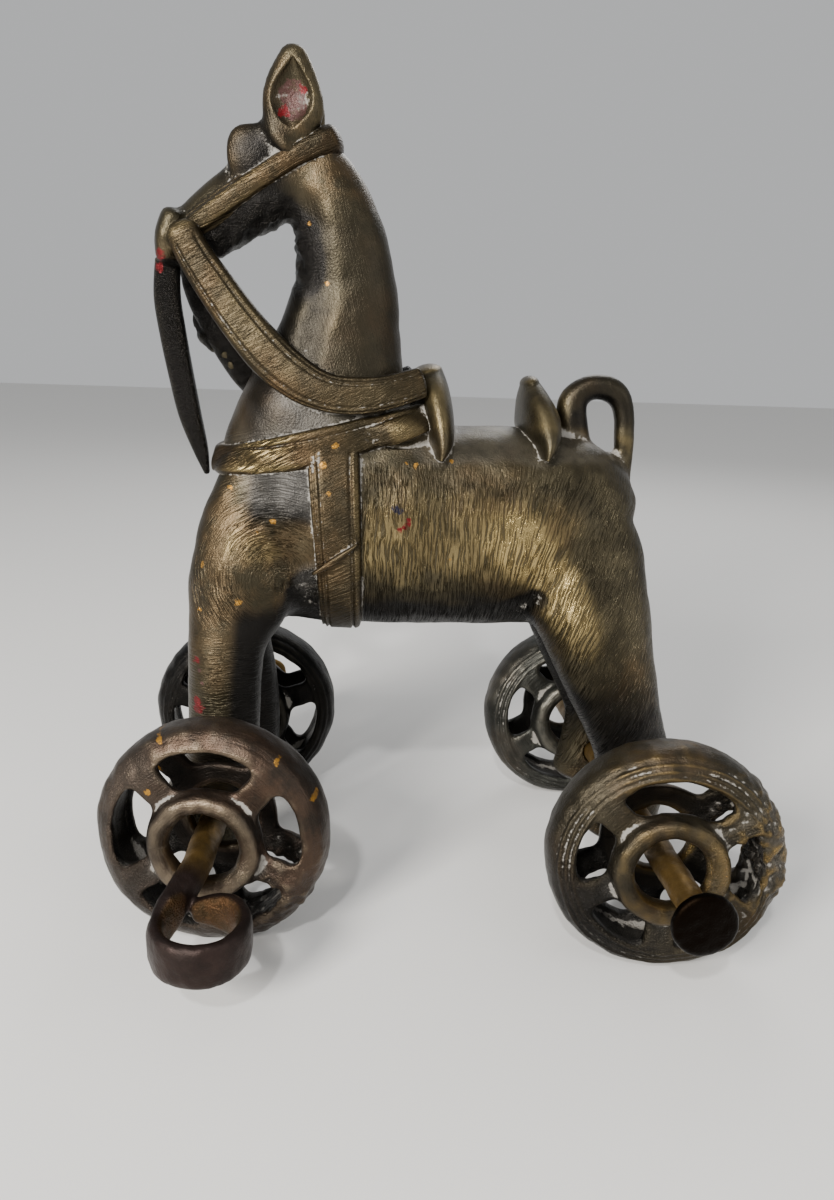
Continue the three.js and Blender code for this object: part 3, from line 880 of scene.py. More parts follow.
def cage(spec, voxel):
    """One wheel about the Y axis: a turned shell, hollow inside, with a window between spokes."""
    half = [
        [HUB_BORE, HUB_HALF - 1.4],
        [HUB_BORE + 0.5, HUB_HALF - 0.4],
        [HUB_BORE + 1.5, HUB_HALF + 0.15],
        [HUB_OUTER - 0.3, HUB_HALF + 0.05],
        [HUB_OUTER + 0.5, HUB_HALF - 0.8],
        [HUB_OUTER + 0.7, HUB_HALF - 2],
        [HUB_OUTER + 0.8, 6],
        [12.2, 6.1],
        [15, 6.4],
        [17, 6.2],
        [SHOULDER_RADIUS, SHOULDER_HALF],
        [21, 3.9],
        [AXIS_HEIGHT - 0.1, TREAD_HALF],
        [AXIS_HEIGHT + 0.05, 0.8],
    ]
    profile = half + [[r, -h] for r, h in reversed(half)]
    piece = new_object("cage", turned(profile))
    hollow = [[0, -HOLLOW_HALF], [12, -HOLLOW_HALF + 0.8], [WHEEL_RADIUS - CAGE_WALL, -HOLLOW_RIM_HALF]]
    hollow += [[r, -y] for r, y in reversed(hollow)]
    cut_or_join(piece, turned_disc(hollow), "DIFFERENCE")
    angles = np.radians(spec["spokes"])
    pairs = zip(angles, [*angles[1:], angles[0] + 2 * np.pi])
    cut_or_join(piece, together([window(*pair, spec["window"]) for pair in pairs]), "DIFFERENCE")
    fused(piece, voxel)
    return piece


def polar(points):
    """How far every point is from the wheel's axis, and at what angle about it."""
    return np.hypot(points[:, 0], points[:, 2]), np.arctan2(points[:, 2], points[:, 0])


def near_angle(angle, degrees, spread):
    """1 where the angle about the axle is a given one, falling off over a spread in degrees."""
    away = np.degrees(np.angle(np.exp(1j * (angle - math.radians(degrees)))))
    return np.exp(-((away / spread) ** 2))


def wheel_relief(points, spec, uneven):
    """Soft lumps, wax threads laid round the windows on both faces, and an eroded stretch."""
    radius, angle = polar(points)
    worn = near_angle(angle, spec["rough"], 34) * step(radius, HUB_OUTER + 0.2, HUB_OUTER + 1.5)
    lumps = 0.13 * waves(points, 8, 11) + 0.05 * waves(points, 3.5, 12)
    pits = waves(points, 4.5, 13) * 0.3 + 0.16 * waves(points, 2.2, 14)
    pits -= 0.35 * step(waves(points, 3, 15), 0.7, 1.6)
    face = step(np.abs(points[:, 1]), 3.9, 4.6)
    threads = sum(bump(radius, r, 0.5) for r in THREAD_RADII) * face * (1 - worn)
    threads *= 0.3 + 0.7 * step(waves(points, 16, 16), -0.8, 0.1)
    return uneven * (lumps + spec["erosion"] * worn * pits) + spec["threads"] * threads


def wheel_tone(points, spec):
    """x is how much the skin is rubbed bright, with a painted highlight on the upper rim; y how black it
    is, with painted shade inside the hollow cage; z how rough.
    """
    (radius, angle), out = polar(points), np.abs(points[:, 1])
    rub_and_highlight = spec["hub"] * bump(radius, 8.4, 2.4) * step(out, 6, 7) + 0.5 * below(radius, 6.8, 7.2)
    # Painted highlight: the upper rim is brighter round the angle given as bright.
    rub_and_highlight += 0.28 * near_angle(angle, spec["bright"], 45) * step(radius, 15, 18)
    rub_and_highlight += 0.3 * near_angle(angle, spec["rough"], 30) * spec["erosion"]
    # Painted shade: the inside of the hollow cage is made black.
    inside = below(out, 5, 5.6) * within(radius, 7.4, 8, 18, 19)
    dark = near_angle(angle, spec["dark"], 65) * step(radius, HUB_OUTER, HUB_OUTER + 1)
    rough = np.maximum(near_angle(angle, spec["rough"], 34) * spec["erosion"], dark)
    return np.stack([rub_and_highlight, np.clip(0.7 * inside + spec["black"] * dark, 0, 1), rough], -1)


def cast_wheel(node, spec, voxel, uneven, material):
    """One wheel, smoothed, filed and worn, and set on its axle."""
    piece = cage(spec, voxel)
    rounds = round((WHEEL_SOFTNESS / voxel) ** 2)
    points = worked(piece, rounds, lambda places: wheel_relief(places, spec, uneven))
    radius, angle = polar(points)
    tone = wheel_tone(points, spec)
    add_ageing(piece, WHEEL_EDGE_ROUNDS, WHEEL_HOLLOW_ROUNDS, 0.5 * tone[:, 2])
    add_field(piece, "chase", np.stack([radius, angle * 16, 0.04 + 0 * radius], -1))
    add_field(piece, "tone", tone)
    toe = math.radians(spec["toe"])
    turn = [[math.cos(toe), -math.sin(toe), 0], [math.sin(toe), math.cos(toe), 0], [0, 0, 1]]
    set_points(piece.data, points @ np.array(turn) + [spec["x"], spec["y"], AXIS_HEIGHT])
    dress(piece, [material])
    finish_piece(piece, "cage_" + node, spec["body"], node)


def nail_head(x, y, z, radius, outward):
    """A hammered head on an axle's end."""
    t = HEAD_THICKNESS
    profile = [[0, -t / 2], [radius * 0.92, -t / 2], [radius, -t * 0.2], [radius, t * 0.1],
               [radius * 0.93, t * 0.36], [radius * 0.5, t * 0.47], [0, t / 2]]
    points, faces = turned_disc([[r, outward * h] for r, h in profile])
    return points + [x, y, z], faces


def front_axle():
    """The front rod, hammered flat at its near end and curled into an eye, with a small far head."""
    far = HALF_SPAN - HEAD_THICKNESS / 2
    rows = [[front_axle_x(y), y, FRONT_AXLE_HEIGHT, ROD_RADIUS, ROD_RADIUS, 2] for y in (-34, -41)]
    rows += [[-44.3, -45.5, FRONT_AXLE_HEIGHT - 0.7, 3.0, 2.5, 2.2]]
    rows += [[-45.9, -49.5, FRONT_AXLE_HEIGHT - 2.2, 3.5, 2.0, 2.6]]
    centre_radius = EYE_RADIUS - STRIP_HALF_THICKNESS
    angle = np.radians(np.linspace(EYE_START, EYE_END, 11))
    x, y = EYE_X + centre_radius * np.cos(angle), EYE_Y + centre_radius * np.sin(angle)
    z, size = EYE_Z + 0.5 * np.sin(angle), np.ones(11)
    height = STRIP_HALF_HEIGHT * np.array([1] * 9 + [0.85, 0.55])
    flat = [height, STRIP_HALF_THICKNESS * size, 3 * size]
    rows += np.stack([x, y, z, *flat], -1).tolist()
    strip = sweep(rows, around=48, along=160, side=UP, ends=(0, 1))
    shank = rod(front_axle_x, FRONT_AXLE_HEIGHT, FRONT_SHANK_END_Y, far, ROD_RADIUS)
    return [strip, shank, nail_head(front_axle_x(far), far, FRONT_AXLE_HEIGHT, PEEN_RADIUS, 1)]


def rear_axle():
    """The rear rod, with a broad near head and a small far one."""
    return [
        rod(rear_axle_x, REAR_AXLE_HEIGHT, REAR_HEAD_Y, REAR_FAR_END_Y, ROD_RADIUS),
        nail_head(REAR_AXLE_X, REAR_HEAD_Y, REAR_AXLE_HEIGHT, HEAD_RADIUS, -1),
        nail_head(REAR_AXLE_X, REAR_FAR_END_Y, REAR_AXLE_HEIGHT, PEEN_RADIUS, 1),
    ]


def forge_axle(node, forms, voxel, uneven, material):
    """An axle of overlapping forms, fused and hammered."""
    piece = new_object("axle", together(forms))
    fused(piece, voxel)

    def hammering(places):
        return uneven * (0.07 * waves(places, 6, 21) + 0.03 * waves(places, 2, 22))

    x, y, _ = worked(piece, AXLE_ROUNDS, hammering).T
    add_ageing(piece)
    add_field(piece, "chase", np.stack([x * 2, y * 0.4, 0.3 + 0 * x], -1))
    eye = below(y, -47, -40) * below(x, -22, -20)
    head = below(y, -59.8, -59) * step(x, 20, 22)
    inside = eye * below(np.hypot(x - EYE_X, y - EYE_Y), 6.2, 7)
    add_field(piece, "tone", np.stack([eye, head, inside], -1))
    dress(piece, [material])
    finish_piece(piece, "forged_" + node, HORSE_BODY, node)


# Ageing, as numbers on the points

def add_field(piece, name, values, on_straps=None):
    """Keeps three numbers on every face corner: its point's, or on a strap its point's in on_straps."""
    corners, on_strap = corners_of(piece.data)
    found = values[corners]
    if on_straps is not None:
        found = np.where(on_strap[:, None], on_straps[corners], found)
    kept = piece.data.attributes.new(name, "FLOAT_VECTOR", "CORNER")
    kept.data.foreach_set("vector", np.ascontiguousarray(found, np.float32).ravel())


def add_ageing(piece, rounds=5, broad_rounds=28, dusty=0.0):
    """wear: how convex, how hollow, and how ready to hold dust the skin is, each from 0 to 1.

    A point that lies outside its neighbours' smoothed place is on an edge; one that lies inside
    it is in a hollow. A place smoothed by broad_rounds more gives the broad hollows. A finer skin
    needs more rounds. dusty adds to the third number, not on straps, and where it is negative the
    hollows are clean.
    """
    points, edges = points_of(piece.data), edges_of(piece.data)
    normals = normals_of(piece.data)
    near = relaxed(points, edges, rounds)
    far = relaxed(near, edges, broad_rounds)
    close = np.sum((near - points) * normals, -1)
    broad = np.sum((far - points) * normals, -1)
    edge = (-close - SOFT_CURVE) / FULL_EDGE
    broad = broad / FULL_HOLLOW + 0.6 * np.maximum(normals[:, 2], 0)
    hollow = close / FULL_EDGE + 2 * np.minimum(dusty, 0)
    bare = np.stack([edge, close / FULL_EDGE, broad], -1)
    wear = np.stack([edge, hollow, broad + dusty], -1)
    add_field(piece, "wear", *(relaxed(np.clip(kind, 0, 1), edges, 2) for kind in (wear, bare)))


def dress(piece, materials):
    """Gives the piece its materials, in slots."""
    piece.data.materials.clear()
    for material in materials:
        piece.data.materials.append(material)


def finish_piece(piece, name, body, node):
    """Names a piece, shades it smooth, checks that it is closed, and puts it in its CAD node's place."""
    mesh = piece.data
    piece.name = mesh.name = name
    mesh.polygons.foreach_set("use_smooth", np.ones(len(mesh.polygons), bool))
    mesh.update()
    sides = np.bincount(read(mesh.loops, "edge_index"), minlength=len(mesh.edges))
    if np.any(sides != 2):
        raise RuntimeError(f"{name} is not a closed surface")
    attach(piece, body)
    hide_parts(node)


def along_line(points, line):
    """How far every point is from a line of [x, z] points, seen from the side."""
    flat, line = points[:, [0, 2]], np.asarray(line, float)
    least = np.full(len(flat), np.inf)
    for a, b in zip(line[:-1], line[1:]):
        t = np.clip((flat - a) @ (b - a) / np.sum((b - a) ** 2), 0, 1)
        least = np.minimum(least, np.linalg.norm(flat - a - t[:, None] * (b - a), axis=1))
    return least


def around_point(points, place):
    """How far every point is from one, seen from the side."""
    return np.hypot(points[:, 0] - place[0], points[:, 2] - place[1])


def spot(points, place, radius):
    """A smooth hill round a place, seen from the side."""
    return bump(around_point(points, place), 0, radius)


def stripe(points, line, half):
    """A smooth hill along a line, seen from the side."""
    return bump(along_line(points, line), 0, half)


def side_relief(points):
    """Relief on the sides: a shoulder ridge, creases, the neck's groove, a rough jaw and lumps."""
    relief = 0.1 * stripe(points, SHOULDER_RIDGE, 1.6) - 0.3 * stripe(points, STIFLE_CREASE, 3)
    relief += 0.4 * spot(points, SHOULDER_MUSCLE, 9) - 0.6 * stripe(points, NECK_GROOVE, 3.6)
    relief += spot(points, SHOULDER_LUMPS, 3.2) * (0.4 + 0.35 * waves(points, 1.9, 6))
    relief += spot(points, FORELEG_CREASE, 6) * (0.3 * waves(points, 1.8, 7) - 0.5)
    jaw = stripe(points, JAW_UNDER, 5.5) * (0.3 * waves(points, 3, 5) + 0.16 * waves(points, 1.7, 8))
    return step(np.abs(points[:, 1]), 2, 6) * relief + jaw


def casting(voxel):
    """Trunk, neck, legs, head and tail, fused, sharpened and smoothed into one skin.

    Where the neck and the legs join the trunk, a skin smoothed by many rounds fills the corner.
    """
    near = [foreleg(0), hind_leg(), ear()]
    far = [mirrored(form) for form in (foreleg(FAR_LEG_SHIFT), hind_leg(), ear())]
    middle = [trunk(), neck(), skull(), noseband(), tail(), croup_ridge()]
    middle += [withers(), ear_cord(), mirrored(ear_cord())]
    piece = new_object("casting", together([*near, *far, *middle, forelock(), flash()]))
    fused(piece, voxel)
    for hollow in (ear_hollow(), mirrored(ear_hollow())):
        cut_or_join(piece, hollow, "DIFFERENCE")
    edges = edges_of(piece.data)
    points = relaxed(points_of(piece.data), edges, SKIN_ROUNDS, THERE_AND_BACK)
    set_points(piece.data, points)
    normals = normals_of(piece.data)
    filled = np.sum((relaxed(points, edges, FILL_ROUNDS) - points) * normals, -1)
    joints = within(points[:, 2], 40, 46, 88, 95)
    points += normals * (np.maximum(filled, 0) * joints)[:, None]
    ears = step(points[:, 2], 143, 145)[:, None]
    points += ears * (relaxed(points, edges, 3) - points)
    set_points(piece.data, relaxed(points, edges, SKIN_ROUNDS // 2, THERE_AND_BACK))
    return piece


def roughened(piece, uneven):
    """Adds the uneven surface of a wax model cast in brass."""
    points, normals = points_of(piece.data), normals_of(piece.data)
    relief = 0.15 * waves(points, 13, 1) + 0.04 * waves(points, 5, 2) + 0.012 * waves(points, 2, 3)
    relief = uneven * relief + side_relief(points)
    set_points(piece.data, points + normals * relief[:, None])


def dusty_places(points):
    """How much dust lies on the shoulder, the chest, the back and the feet, up to 1; -1 on the jaw."""
    x, _, z = points.T
    dusty = within(z, 74, 80, 88, 93) * within(x, -40, -36, -24, -21)
    dusty += within(z, 87, 91, 98, 102) * below(x, -22, -16)
    dusty += within(z, 87, 90, 93, 98) * step(x, -6, -2) + 0.7 * below(z, 8, 26)
    dusty = 0.55 * np.clip(dusty, 0, 1) + spot(points, CRUST, 5)
    return np.clip(dusty, 0, 1) - stripe(points, JAW_UNDER, 8)


def chase_field(points):
    """Where the hair lines run: x runs across them, y along them, and z is their strength.

    On the trunk and the haunch they are upright and lean forward towards the tail; over the
    shoulder they are arches about the top of the foreleg, below it they are level, and on the
    neck they lean back.
    """
    x, _, z = points.T
    shown = below(z, 82, 89) * step(x, -20, -12) * (1 - 0.35 * step(x, 30, 36))
    trunk_lines = [x - (z - 70) * 0.42 * step(x, 6, 34), z, shown]
    arched = 0.1 + 0.8 * spot(points, (-32, 74), 8.5) + 0.6 * spot(points, (-41, 62), 7)
    turn = np.arctan2(x - SHOULDER_TOP[0], z - SHOULDER_TOP[1])
    arches = [around_point(points, SHOULDER_TOP), turn * 12, arched * step(z, 56, 59)]
    level = [57 - z, x, 0.2 * below(z, 50, 56)]
    hair = [x * 1.3 + (z - 110) * 0.35, z, 0.03 * step(z, 99, 104)]
    neck_part, front = z > 95, (x < -20) & (z < 95)
    choice = [neck_part, front & (z > 56), front]
    fields = [np.select(choice, group) for group in zip(hair, arches, level)]
    fields = [np.where(neck_part | front, kept, other) for kept, other in zip(fields, trunk_lines)]
    fields[2] *= np.where(z < 95, step(np.abs(x + 20), 0, 1.5), 1) * step(np.abs(z - 95), 0.3, 3)
    return np.stack(fields, -1)


def strap_chase_field(points):
    """The slanted cuts on the straps, deeper at the breast's left half."""
    x, _, z = points.T
    cuts = 0.12 + 0.7 * bump(x, -33, 8) * below(z, 93, 95)
    return np.stack([(z - 0.5 * x) * 1.1, x, cuts], -1)


def tone_field(points, normals):
    """x is how much the skin is rubbed bright, with painted highlights along the flank and down the thigh;
    y how black it is, with painted shade under the body, on the legs and in the creases; z how rough.
    """
    x, y, z = points.T
    out, down = np.abs(y), -normals[:, 2]
    # The band along the middle of the flank is partly rubbed brass and partly a painted highlight; the
    # stripe down the front of the thigh is a painted highlight.
    rub_and_highlight = 0.7 * step(x, -19, -13) * bump(z, 73, 19) * below(x, 18, 36)
    rub_and_highlight += 1.2 * stripe(points, THIGH_HIGHLIGHT, 8) * (0.35 + 0.65 * step(z, 42, 66))
    rub_and_highlight += 0.12 * stripe(points, SHOULDER_RIDGE, 2.5) + 0.5 * spot(points, (-33, 72), 9)
    bows = 0.3 * step(z, 93, 96) * within(x, -4, -2, 24, 26)
    rub_and_highlight = np.clip(rub_and_highlight + bows, 0, 1.3) * (step(out, 4, 8) * (1 - bows) + bows)
    jaw = 0.9 * below(along_line(points, JAW_UNDER), 1, 6) * step(x, -49, -44)
    behind = below(around_point(points, FORELEG_CREASE), 3.5, 6.5)
    blade = below(x, -44.8, -44.4) * within(z, 80, 82, 123, 125)
    # The crease behind the foreleg and the stifle crease are blackened as painted shade, beside the black
    # jaw and blade.
    black = jaw + blade + 0.8 * behind + 0.6 * stripe(points, STIFLE_CREASE, 4)
    # Painted shade from here on to the forelegs' rear: faces that look down are made black, and so are the
    # hind legs' lower half, the legs' inner faces and lower parts, and the rear of the forelegs.
    lower = step(down, 0.15, 0.75) * below(z, 88, 92) + 0.6 * step(down, 0.4, 1)
    black += 0.9 * (lower + 0.45 * bump(z, 36, 16) * step(x, 20, 30))
    black += below(out, 4, 9) * below(z, 50, 56) + 0.45 * bump(z, 33, 26)
    black += 0.9 * within(x, -41, -36, -24, -20) * below(z, 57, 64)
    neck_side = within(z, 88, 92, 130, 142) * within(x, -40, -34, -8, -4)
    black += neck_side * (0.5 + 0.2 * below(x, -24, -19))
    black += 0.4 * step(z, 122, 128) * below(x, -32, -24) + 0.5 * spot(points, EAR_FEET, 10)
    black += 0.85 * within(z, 74, 79, 88, 91) * within(x, -38, -34, -23, -20)
    black += 0.75 * step(x, 26, 28) * step(z, 93, 96)
    rough = jaw + behind + spot(points, SHOULDER_LUMPS, 5) + bump(z, 8, 14) + blade
    return np.stack([rub_and_highlight, np.clip(black, 0, 1), np.clip(rough, 0, 1)], -1)


def strap_tone_field(points):
    """The same for the straps: the far rein is dark and rough, the near ones a little rubbed, the breast
    strap's left half rubbed bright, partly as a painted highlight, and the girth darker towards its bottom
    as painted shade.
    """
    x, y, z = points.T
    far_rein = ((y > 4) & (z > 98) & (z < 126)).astype(float)
    rub_and_highlight = 0.06 + 0.2 * bump(x, -38, 13) * step(z, 96, 98)
    # The breast strap's left half: rubbed brass, partly a painted highlight on its cuts.
    rub_and_highlight += 0.6 * bump(x, -33, 9) * within(z, 83, 85, 94, 96)
    # The last term is painted shade: the girth is darker towards its bottom, under the belly.
    black = far_rein + 0.35 * step(x, -34, -24) * step(z, 130, 136) + 0.3 * below(z, 54, 72)
    return np.stack([rub_and_highlight * (1 - far_rein), black, far_rein], -1)


def cast_horse(voxel, uneven, materials):
    """The whole casting: the body's skin with its straps and saddle bows joined on, and bored feet."""
    piece = casting(voxel)
    bands = [breast_strap(piece), girth(piece)]
    roughened(piece, uneven)
    dress(piece, materials)
    for form in (strap_end(), pommel(), cantle()):
        cut_or_join(piece, form, "UNION", materials, 0)
    far_rein = mirrored(rein(FAR_REIN_SAG, rough_relief, 40, 110))
    for form in [*bands, girth_burr(), cheek_strap(), rein(), far_rein]:
        cut_or_join(piece, form, "UNION", materials)
    for x_at, height in ((front_axle_x, FRONT_AXLE_HEIGHT), (rear_axle_x, REAR_AXLE_HEIGHT)):
        bore = rod(x_at, height, -HOLE_REACH, HOLE_REACH, HOLE_RADIUS)
        cut_or_join(piece, bore, "DIFFERENCE", materials)
    clear_specks(piece)
    points, normals = points_of(piece.data), normals_of(piece.data)
    add_ageing(piece, dusty=dusty_places(points))
    add_field(piece, "chase", chase_field(points), strap_chase_field(points))
    add_field(piece, "tone", tone_field(points, normals), strap_tone_field(points))
    finish_piece(piece, "cast_horse", HORSE_BODY, "horse")


# Materials

class Varying:
    """A number or colour in a node tree. Sums on it become Math nodes."""

    def __init__(self, socket):
        self.socket, self.tree = socket, socket.id_data

    def math_node(self, operation, *values):
        """One Math node on this number and others."""
        return made(self.tree, "ShaderNodeMath", dict(enumerate([self, *values])), operation=operation)

    def __add__(self, other):
        return self.math_node("ADD", other)

    def __sub__(self, other):
        return self.math_node("SUBTRACT", other)

    def __rsub__(self, other):
        return self.math_node("MULTIPLY_ADD", -1, other)

    def __mul__(self, other):
        return self.math_node("MULTIPLY", other)


def put(value, socket):
    """Links a varying value to a socket, or sets the socket to a plain one."""
    if isinstance(value, Varying):
        value.tree.links.new(value.socket, socket)
    else:
        socket.default_value = value


def made(tree, kind, inputs=None, output=0, **settings):
    """One output of a new node, whose inputs are given by name or number."""
    node = tree.nodes.new(kind)
    for name, value in settings.items():
        setattr(node, name, value)
    for key, value in (inputs or {}).items():
        put(value, node.inputs[key])
    return Varying(node.outputs[output])


def ramp(value, low, high, start=0.0, stop=1.0):
    """A smooth step from start, where value is low, to stop, where it is high."""
    inputs = {"Value": value, "From Min": low, "From Max": high, "To Min": start, "To Max": stop}
    return made(value.tree, "ShaderNodeMapRange", inputs, interpolation_type="SMOOTHSTEP")


def blend(share, first, second):
    """A colour between two colours: sockets 6 and 7 of a Mix node hold them."""
    return made(share.tree, "ShaderNodeMix", {0: share, 6: first, 7: second}, 2, data_type="RGBA")


def noise(place, scale, detail, rough=0.6, **settings):
    """Noise from 0 to 1."""
    inputs = {"Vector": place, "Scale": scale, "Detail": detail, "Roughness": rough}
    return made(place.tree, "ShaderNodeTexNoise", inputs, **settings)


def object_place(tree):
    """The place on the object, in metres."""
    return made(tree, "ShaderNodeTexCoord", output="Object")


def axes(vector):
    """The three numbers of a vector."""
    first = made(vector.tree, "ShaderNodeSeparateXYZ", {0: vector})
    return [Varying(socket) for socket in first.socket.node.outputs]


def field(tree, name):
    """The three numbers kept on the mesh under a name."""
    return axes(made(tree, "ShaderNodeAttribute", output="Vector", attribute_name=name))


def new_group(name, setting):
    """A shader node group with one number to set, and that number."""
    tree = bpy.data.node_groups.new(name, "ShaderNodeTree")
    tree.interface.new_socket(setting, in_out="INPUT", socket_type="NodeSocketFloat")
    return tree, made(tree, "NodeGroupInput", output=setting)


def give_out(tree, values):
    """Makes a group's outputs from named values."""
    for name in values:
        tree.interface.new_socket(name, in_out="OUTPUT", socket_type="NodeSocketFloat")
    out = tree.nodes.new("NodeGroupOutput")
    for name, value in values.items():
        put(value, out.inputs[name])
    return tree


def group_of(tree, group, setting):
    """The outputs of a group placed in a material with its own number, by name."""
    node = tree.nodes.new("ShaderNodeGroup")
    node.node_tree = group
    node.inputs[0].default_value = setting
    return {socket.name: Varying(socket) for socket in node.outputs}


def chased_lines():
    """Fine furrows that follow the chase field, from noise drawn out along them: a mask and a height.

    Share is how much of the metal's shine the furrows take.
    """
    tree, share = new_group("Chased lines", "Share")
    across, along, strength = field(tree, "chase")
    sway = noise(object_place(tree), 100.0, 2.0)
    drawn = made(tree, "ShaderNodeCombineXYZ", {0: (across + sway * 1.8) * 2.9, 1: along * 0.19})
    streaks = noise(drawn, 1.0, 2.0, 0.5, noise_dimensions="2D")
    dark, deep = (ramp(streaks, 0.36, stop, 1.0, 0.0) * strength for stop in (0.46, 0.54))
    return give_out(tree, {"Lines": 1 - dark * share, "Height": 1 - deep})


def age():
    """Masks of old brass and painted light: Rub on what sticks out and where the tone field paints a
    highlight, Dust in hollows, Black with the tone field's painted shade, Mottle, Tint and Rough.

    Grain is a height, and Depth is its share.
    """
    tree, depth = new_group("Age", "Depth")
    edge, hollow, broad = field(tree, "wear")
    rub_and_highlight, black, rough = field(tree, "tone")
    place = object_place(tree)
    mottle = noise(place, 140.0, 7.0, 0.68)
    blotch = (mottle - 0.5) * 0.7
    bright = edge * 0.4 + rub_and_highlight * 0.8 - 0.14 + blotch * 0.6 - hollow * 1.2 - black
    dust = hollow * 1.1 + broad * 0.4 + (noise(place, 1500.0, 3.0) - 0.5) * 1.6 + blotch - rough * 0.3
    film = ramp(broad, 0.3, 0.8, 0.0, 0.2) * mottle
    return give_out(tree, {
        "Rub": ramp(bright, 0.0, 1.0),
        "Dust": ramp(dust, 0.72, 1.1, 0.0, 0.85).math_node("MAXIMUM", film),
        "Black": ramp(black + blotch - edge * 0.25, 0.1, 0.9),
        "Mottle": mottle,
        "Grain": noise(place, 2600.0, 3.0) * (rough * 3.5 + 0.8) * depth,
        "Tint": ramp(noise(place, 42.0, 3.0, 0.5), 0.45, 0.65),
        "Rough": rough,
    })


def shared_groups():
    """The node groups that all brass and iron use, built once."""
    groups = bpy.data.node_groups
    return groups.get("Chased lines") or chased_lines(), groups.get("Age") or age()


def spots(place, centres, ragged):
    """A mask of round spots on the left side, each given by its x, z and radius in millimetres."""
    x, y, z = axes(place)
    side = made(place.tree, "ShaderNodeCombineXYZ", {0: x, 2: z})
    least = None
    for cx, cz, radius in centres:
        inputs = {0: side, 1: (cx * MM, 0, cz * MM)}
        away = made(place.tree, "ShaderNodeVectorMath", inputs, "Value", operation="DISTANCE")
        away = away - radius * MM
        least = least.math_node("MINIMUM", away) if least else away
    return ramp(least + ragged, 0.0002, -0.0001) * y.math_node("LESS_THAN", -0.002)


def new_material(name):
    """A material and its node tree."""
    material = bpy.data.materials.new(name)
    material.use_nodes = True
    return material, material.node_tree


def join_shader(tree, colour, metallic, roughness, height, relief, strength):
    """Leads the varying values to the material's own shader."""
    inputs = {"Height": height, "Distance": relief, "Strength": strength}
    normal = made(tree, "ShaderNodeBump", inputs)
    found = {"Base Color": colour, "Metallic": metallic, "Roughness": roughness, "Normal": normal}
    for name, value in found.items():
        put(value, tree.nodes["Principled BSDF"].inputs[name])


def brass(name, tones, lines, roughness=0.35, marks=()):
    """Old cast brass: a dark patina, rubbed bright on edges and ridges, with dust in its hollows, and the
    tone field's painted highlights and painted shade.

    tones are the patina's dark, light and warm tones and the rubbed metal's; lines is how much of
    its shine the furrows take; marks are pairs of a colour and the spots that have it.
    """
    dark, light, warm, gold = tones
    material, tree = new_material(name)
    place = object_place(tree)
    line_group, age_group = shared_groups()
    chased, aged = group_of(tree, line_group, lines), group_of(tree, age_group, BRASS_GRAIN)
    under = blend(ramp(aged["Mottle"], 0.34, 0.62), dark, blend(aged["Tint"], light, warm))
    # Black patina, and the painted shade that the tone field asks for.
    under = blend(aged["Black"], under, BLACK)
    # Rubbed brass, with the painted highlights, shows between the furrows.
    shine = aged["Rub"] * chased["Lines"]
    colour = blend(aged["Dust"], blend(shine, under, gold), DUST)
    metallic = shine * 0.15 + 0.85 - aged["Dust"]
    ragged = (noise(place, 900.0, 3.0) - 0.5) * 0.002
    patchy = ramp(noise(place, 1100.0, 2.0), 0.36, 0.52, 0.5, 1.0)
    for mark, centres in marks:
        mask = spots(place, centres, ragged) * patchy
        colour = blend(mask, colour, mark)
        metallic = metallic * (1 - mask * 0.3)
    dull = aged["Dust"] * 0.4 + roughness - shine * 0.1 - aged["Rough"] * 0.14
    join_shader(tree, colour, metallic, dull, chased["Height"] + aged["Grain"], BRASS_RELIEF, 1.0)
    return material


def forged_iron(colours):
    """Axle iron: golden-brown rods, a purple-brown eye and a nearly black nail head."""
    material, tree = new_material("Axle iron")
    aged = group_of(tree, shared_groups()[1], 1.0)
    eye, head, inside = field(tree, "tone")
    worn = ramp(aged["Mottle"], 0.35, 0.7)
    rods = blend(worn, shaded(colours.rod, 0.4), tuple(colours.rod))
    ends = blend(worn, shaded(colours.eye, 0.5), tuple(colours.eye))
    rust = blend(worn, shaded(colours.rod, 0.12), shaded(colours.rod, [0.4, 0.3, 0.36]))
    colour = blend(head, blend(inside, blend(eye, rods, ends), rust), tuple(colours.head))
    dull = ramp(aged["Mottle"], 0.3, 0.7, 0.55, 0.38)
    join_shader(tree, colour, ramp(head, 0.0, 1.0, 0.8, 1.0), dull, aged["Grain"], IRON_RELIEF, 0.5)
    return material


def shaded(colour, share):
    """A colour times a share, or times three of them."""
    return (*(np.array(colour[:3]) * share), 1)


def patina(colour, rubbed):
    """The four tones of one brass: its patina's dark, light and warm tones, and its rubbed metal."""
    return [shaded(colour, 0.5), shaded(colour, 1), shaded(colour, [1.04, 0.86, 0.76]), tuple(rubbed)]


def horse_materials(colours):
    """The brass of the horse's body and of its straps."""
    marks = [(GOLD_FLAKE, FLAKE_SPOTS), (PINK, PINK_SPOTS), (RED, RED_SPOTS), (BLUE_BLACK, INK_SPOTS)]
    horse = patina(colours.horse_patina, colours.horse_rubbed)
    strap = patina(colours.strap_patina, colours.strap_rubbed)
    return [
        brass("Horse brass", horse, lines=0.9, marks=marks),
        brass("Strap brass", strap, lines=0.3, marks=marks[:1]),
    ]


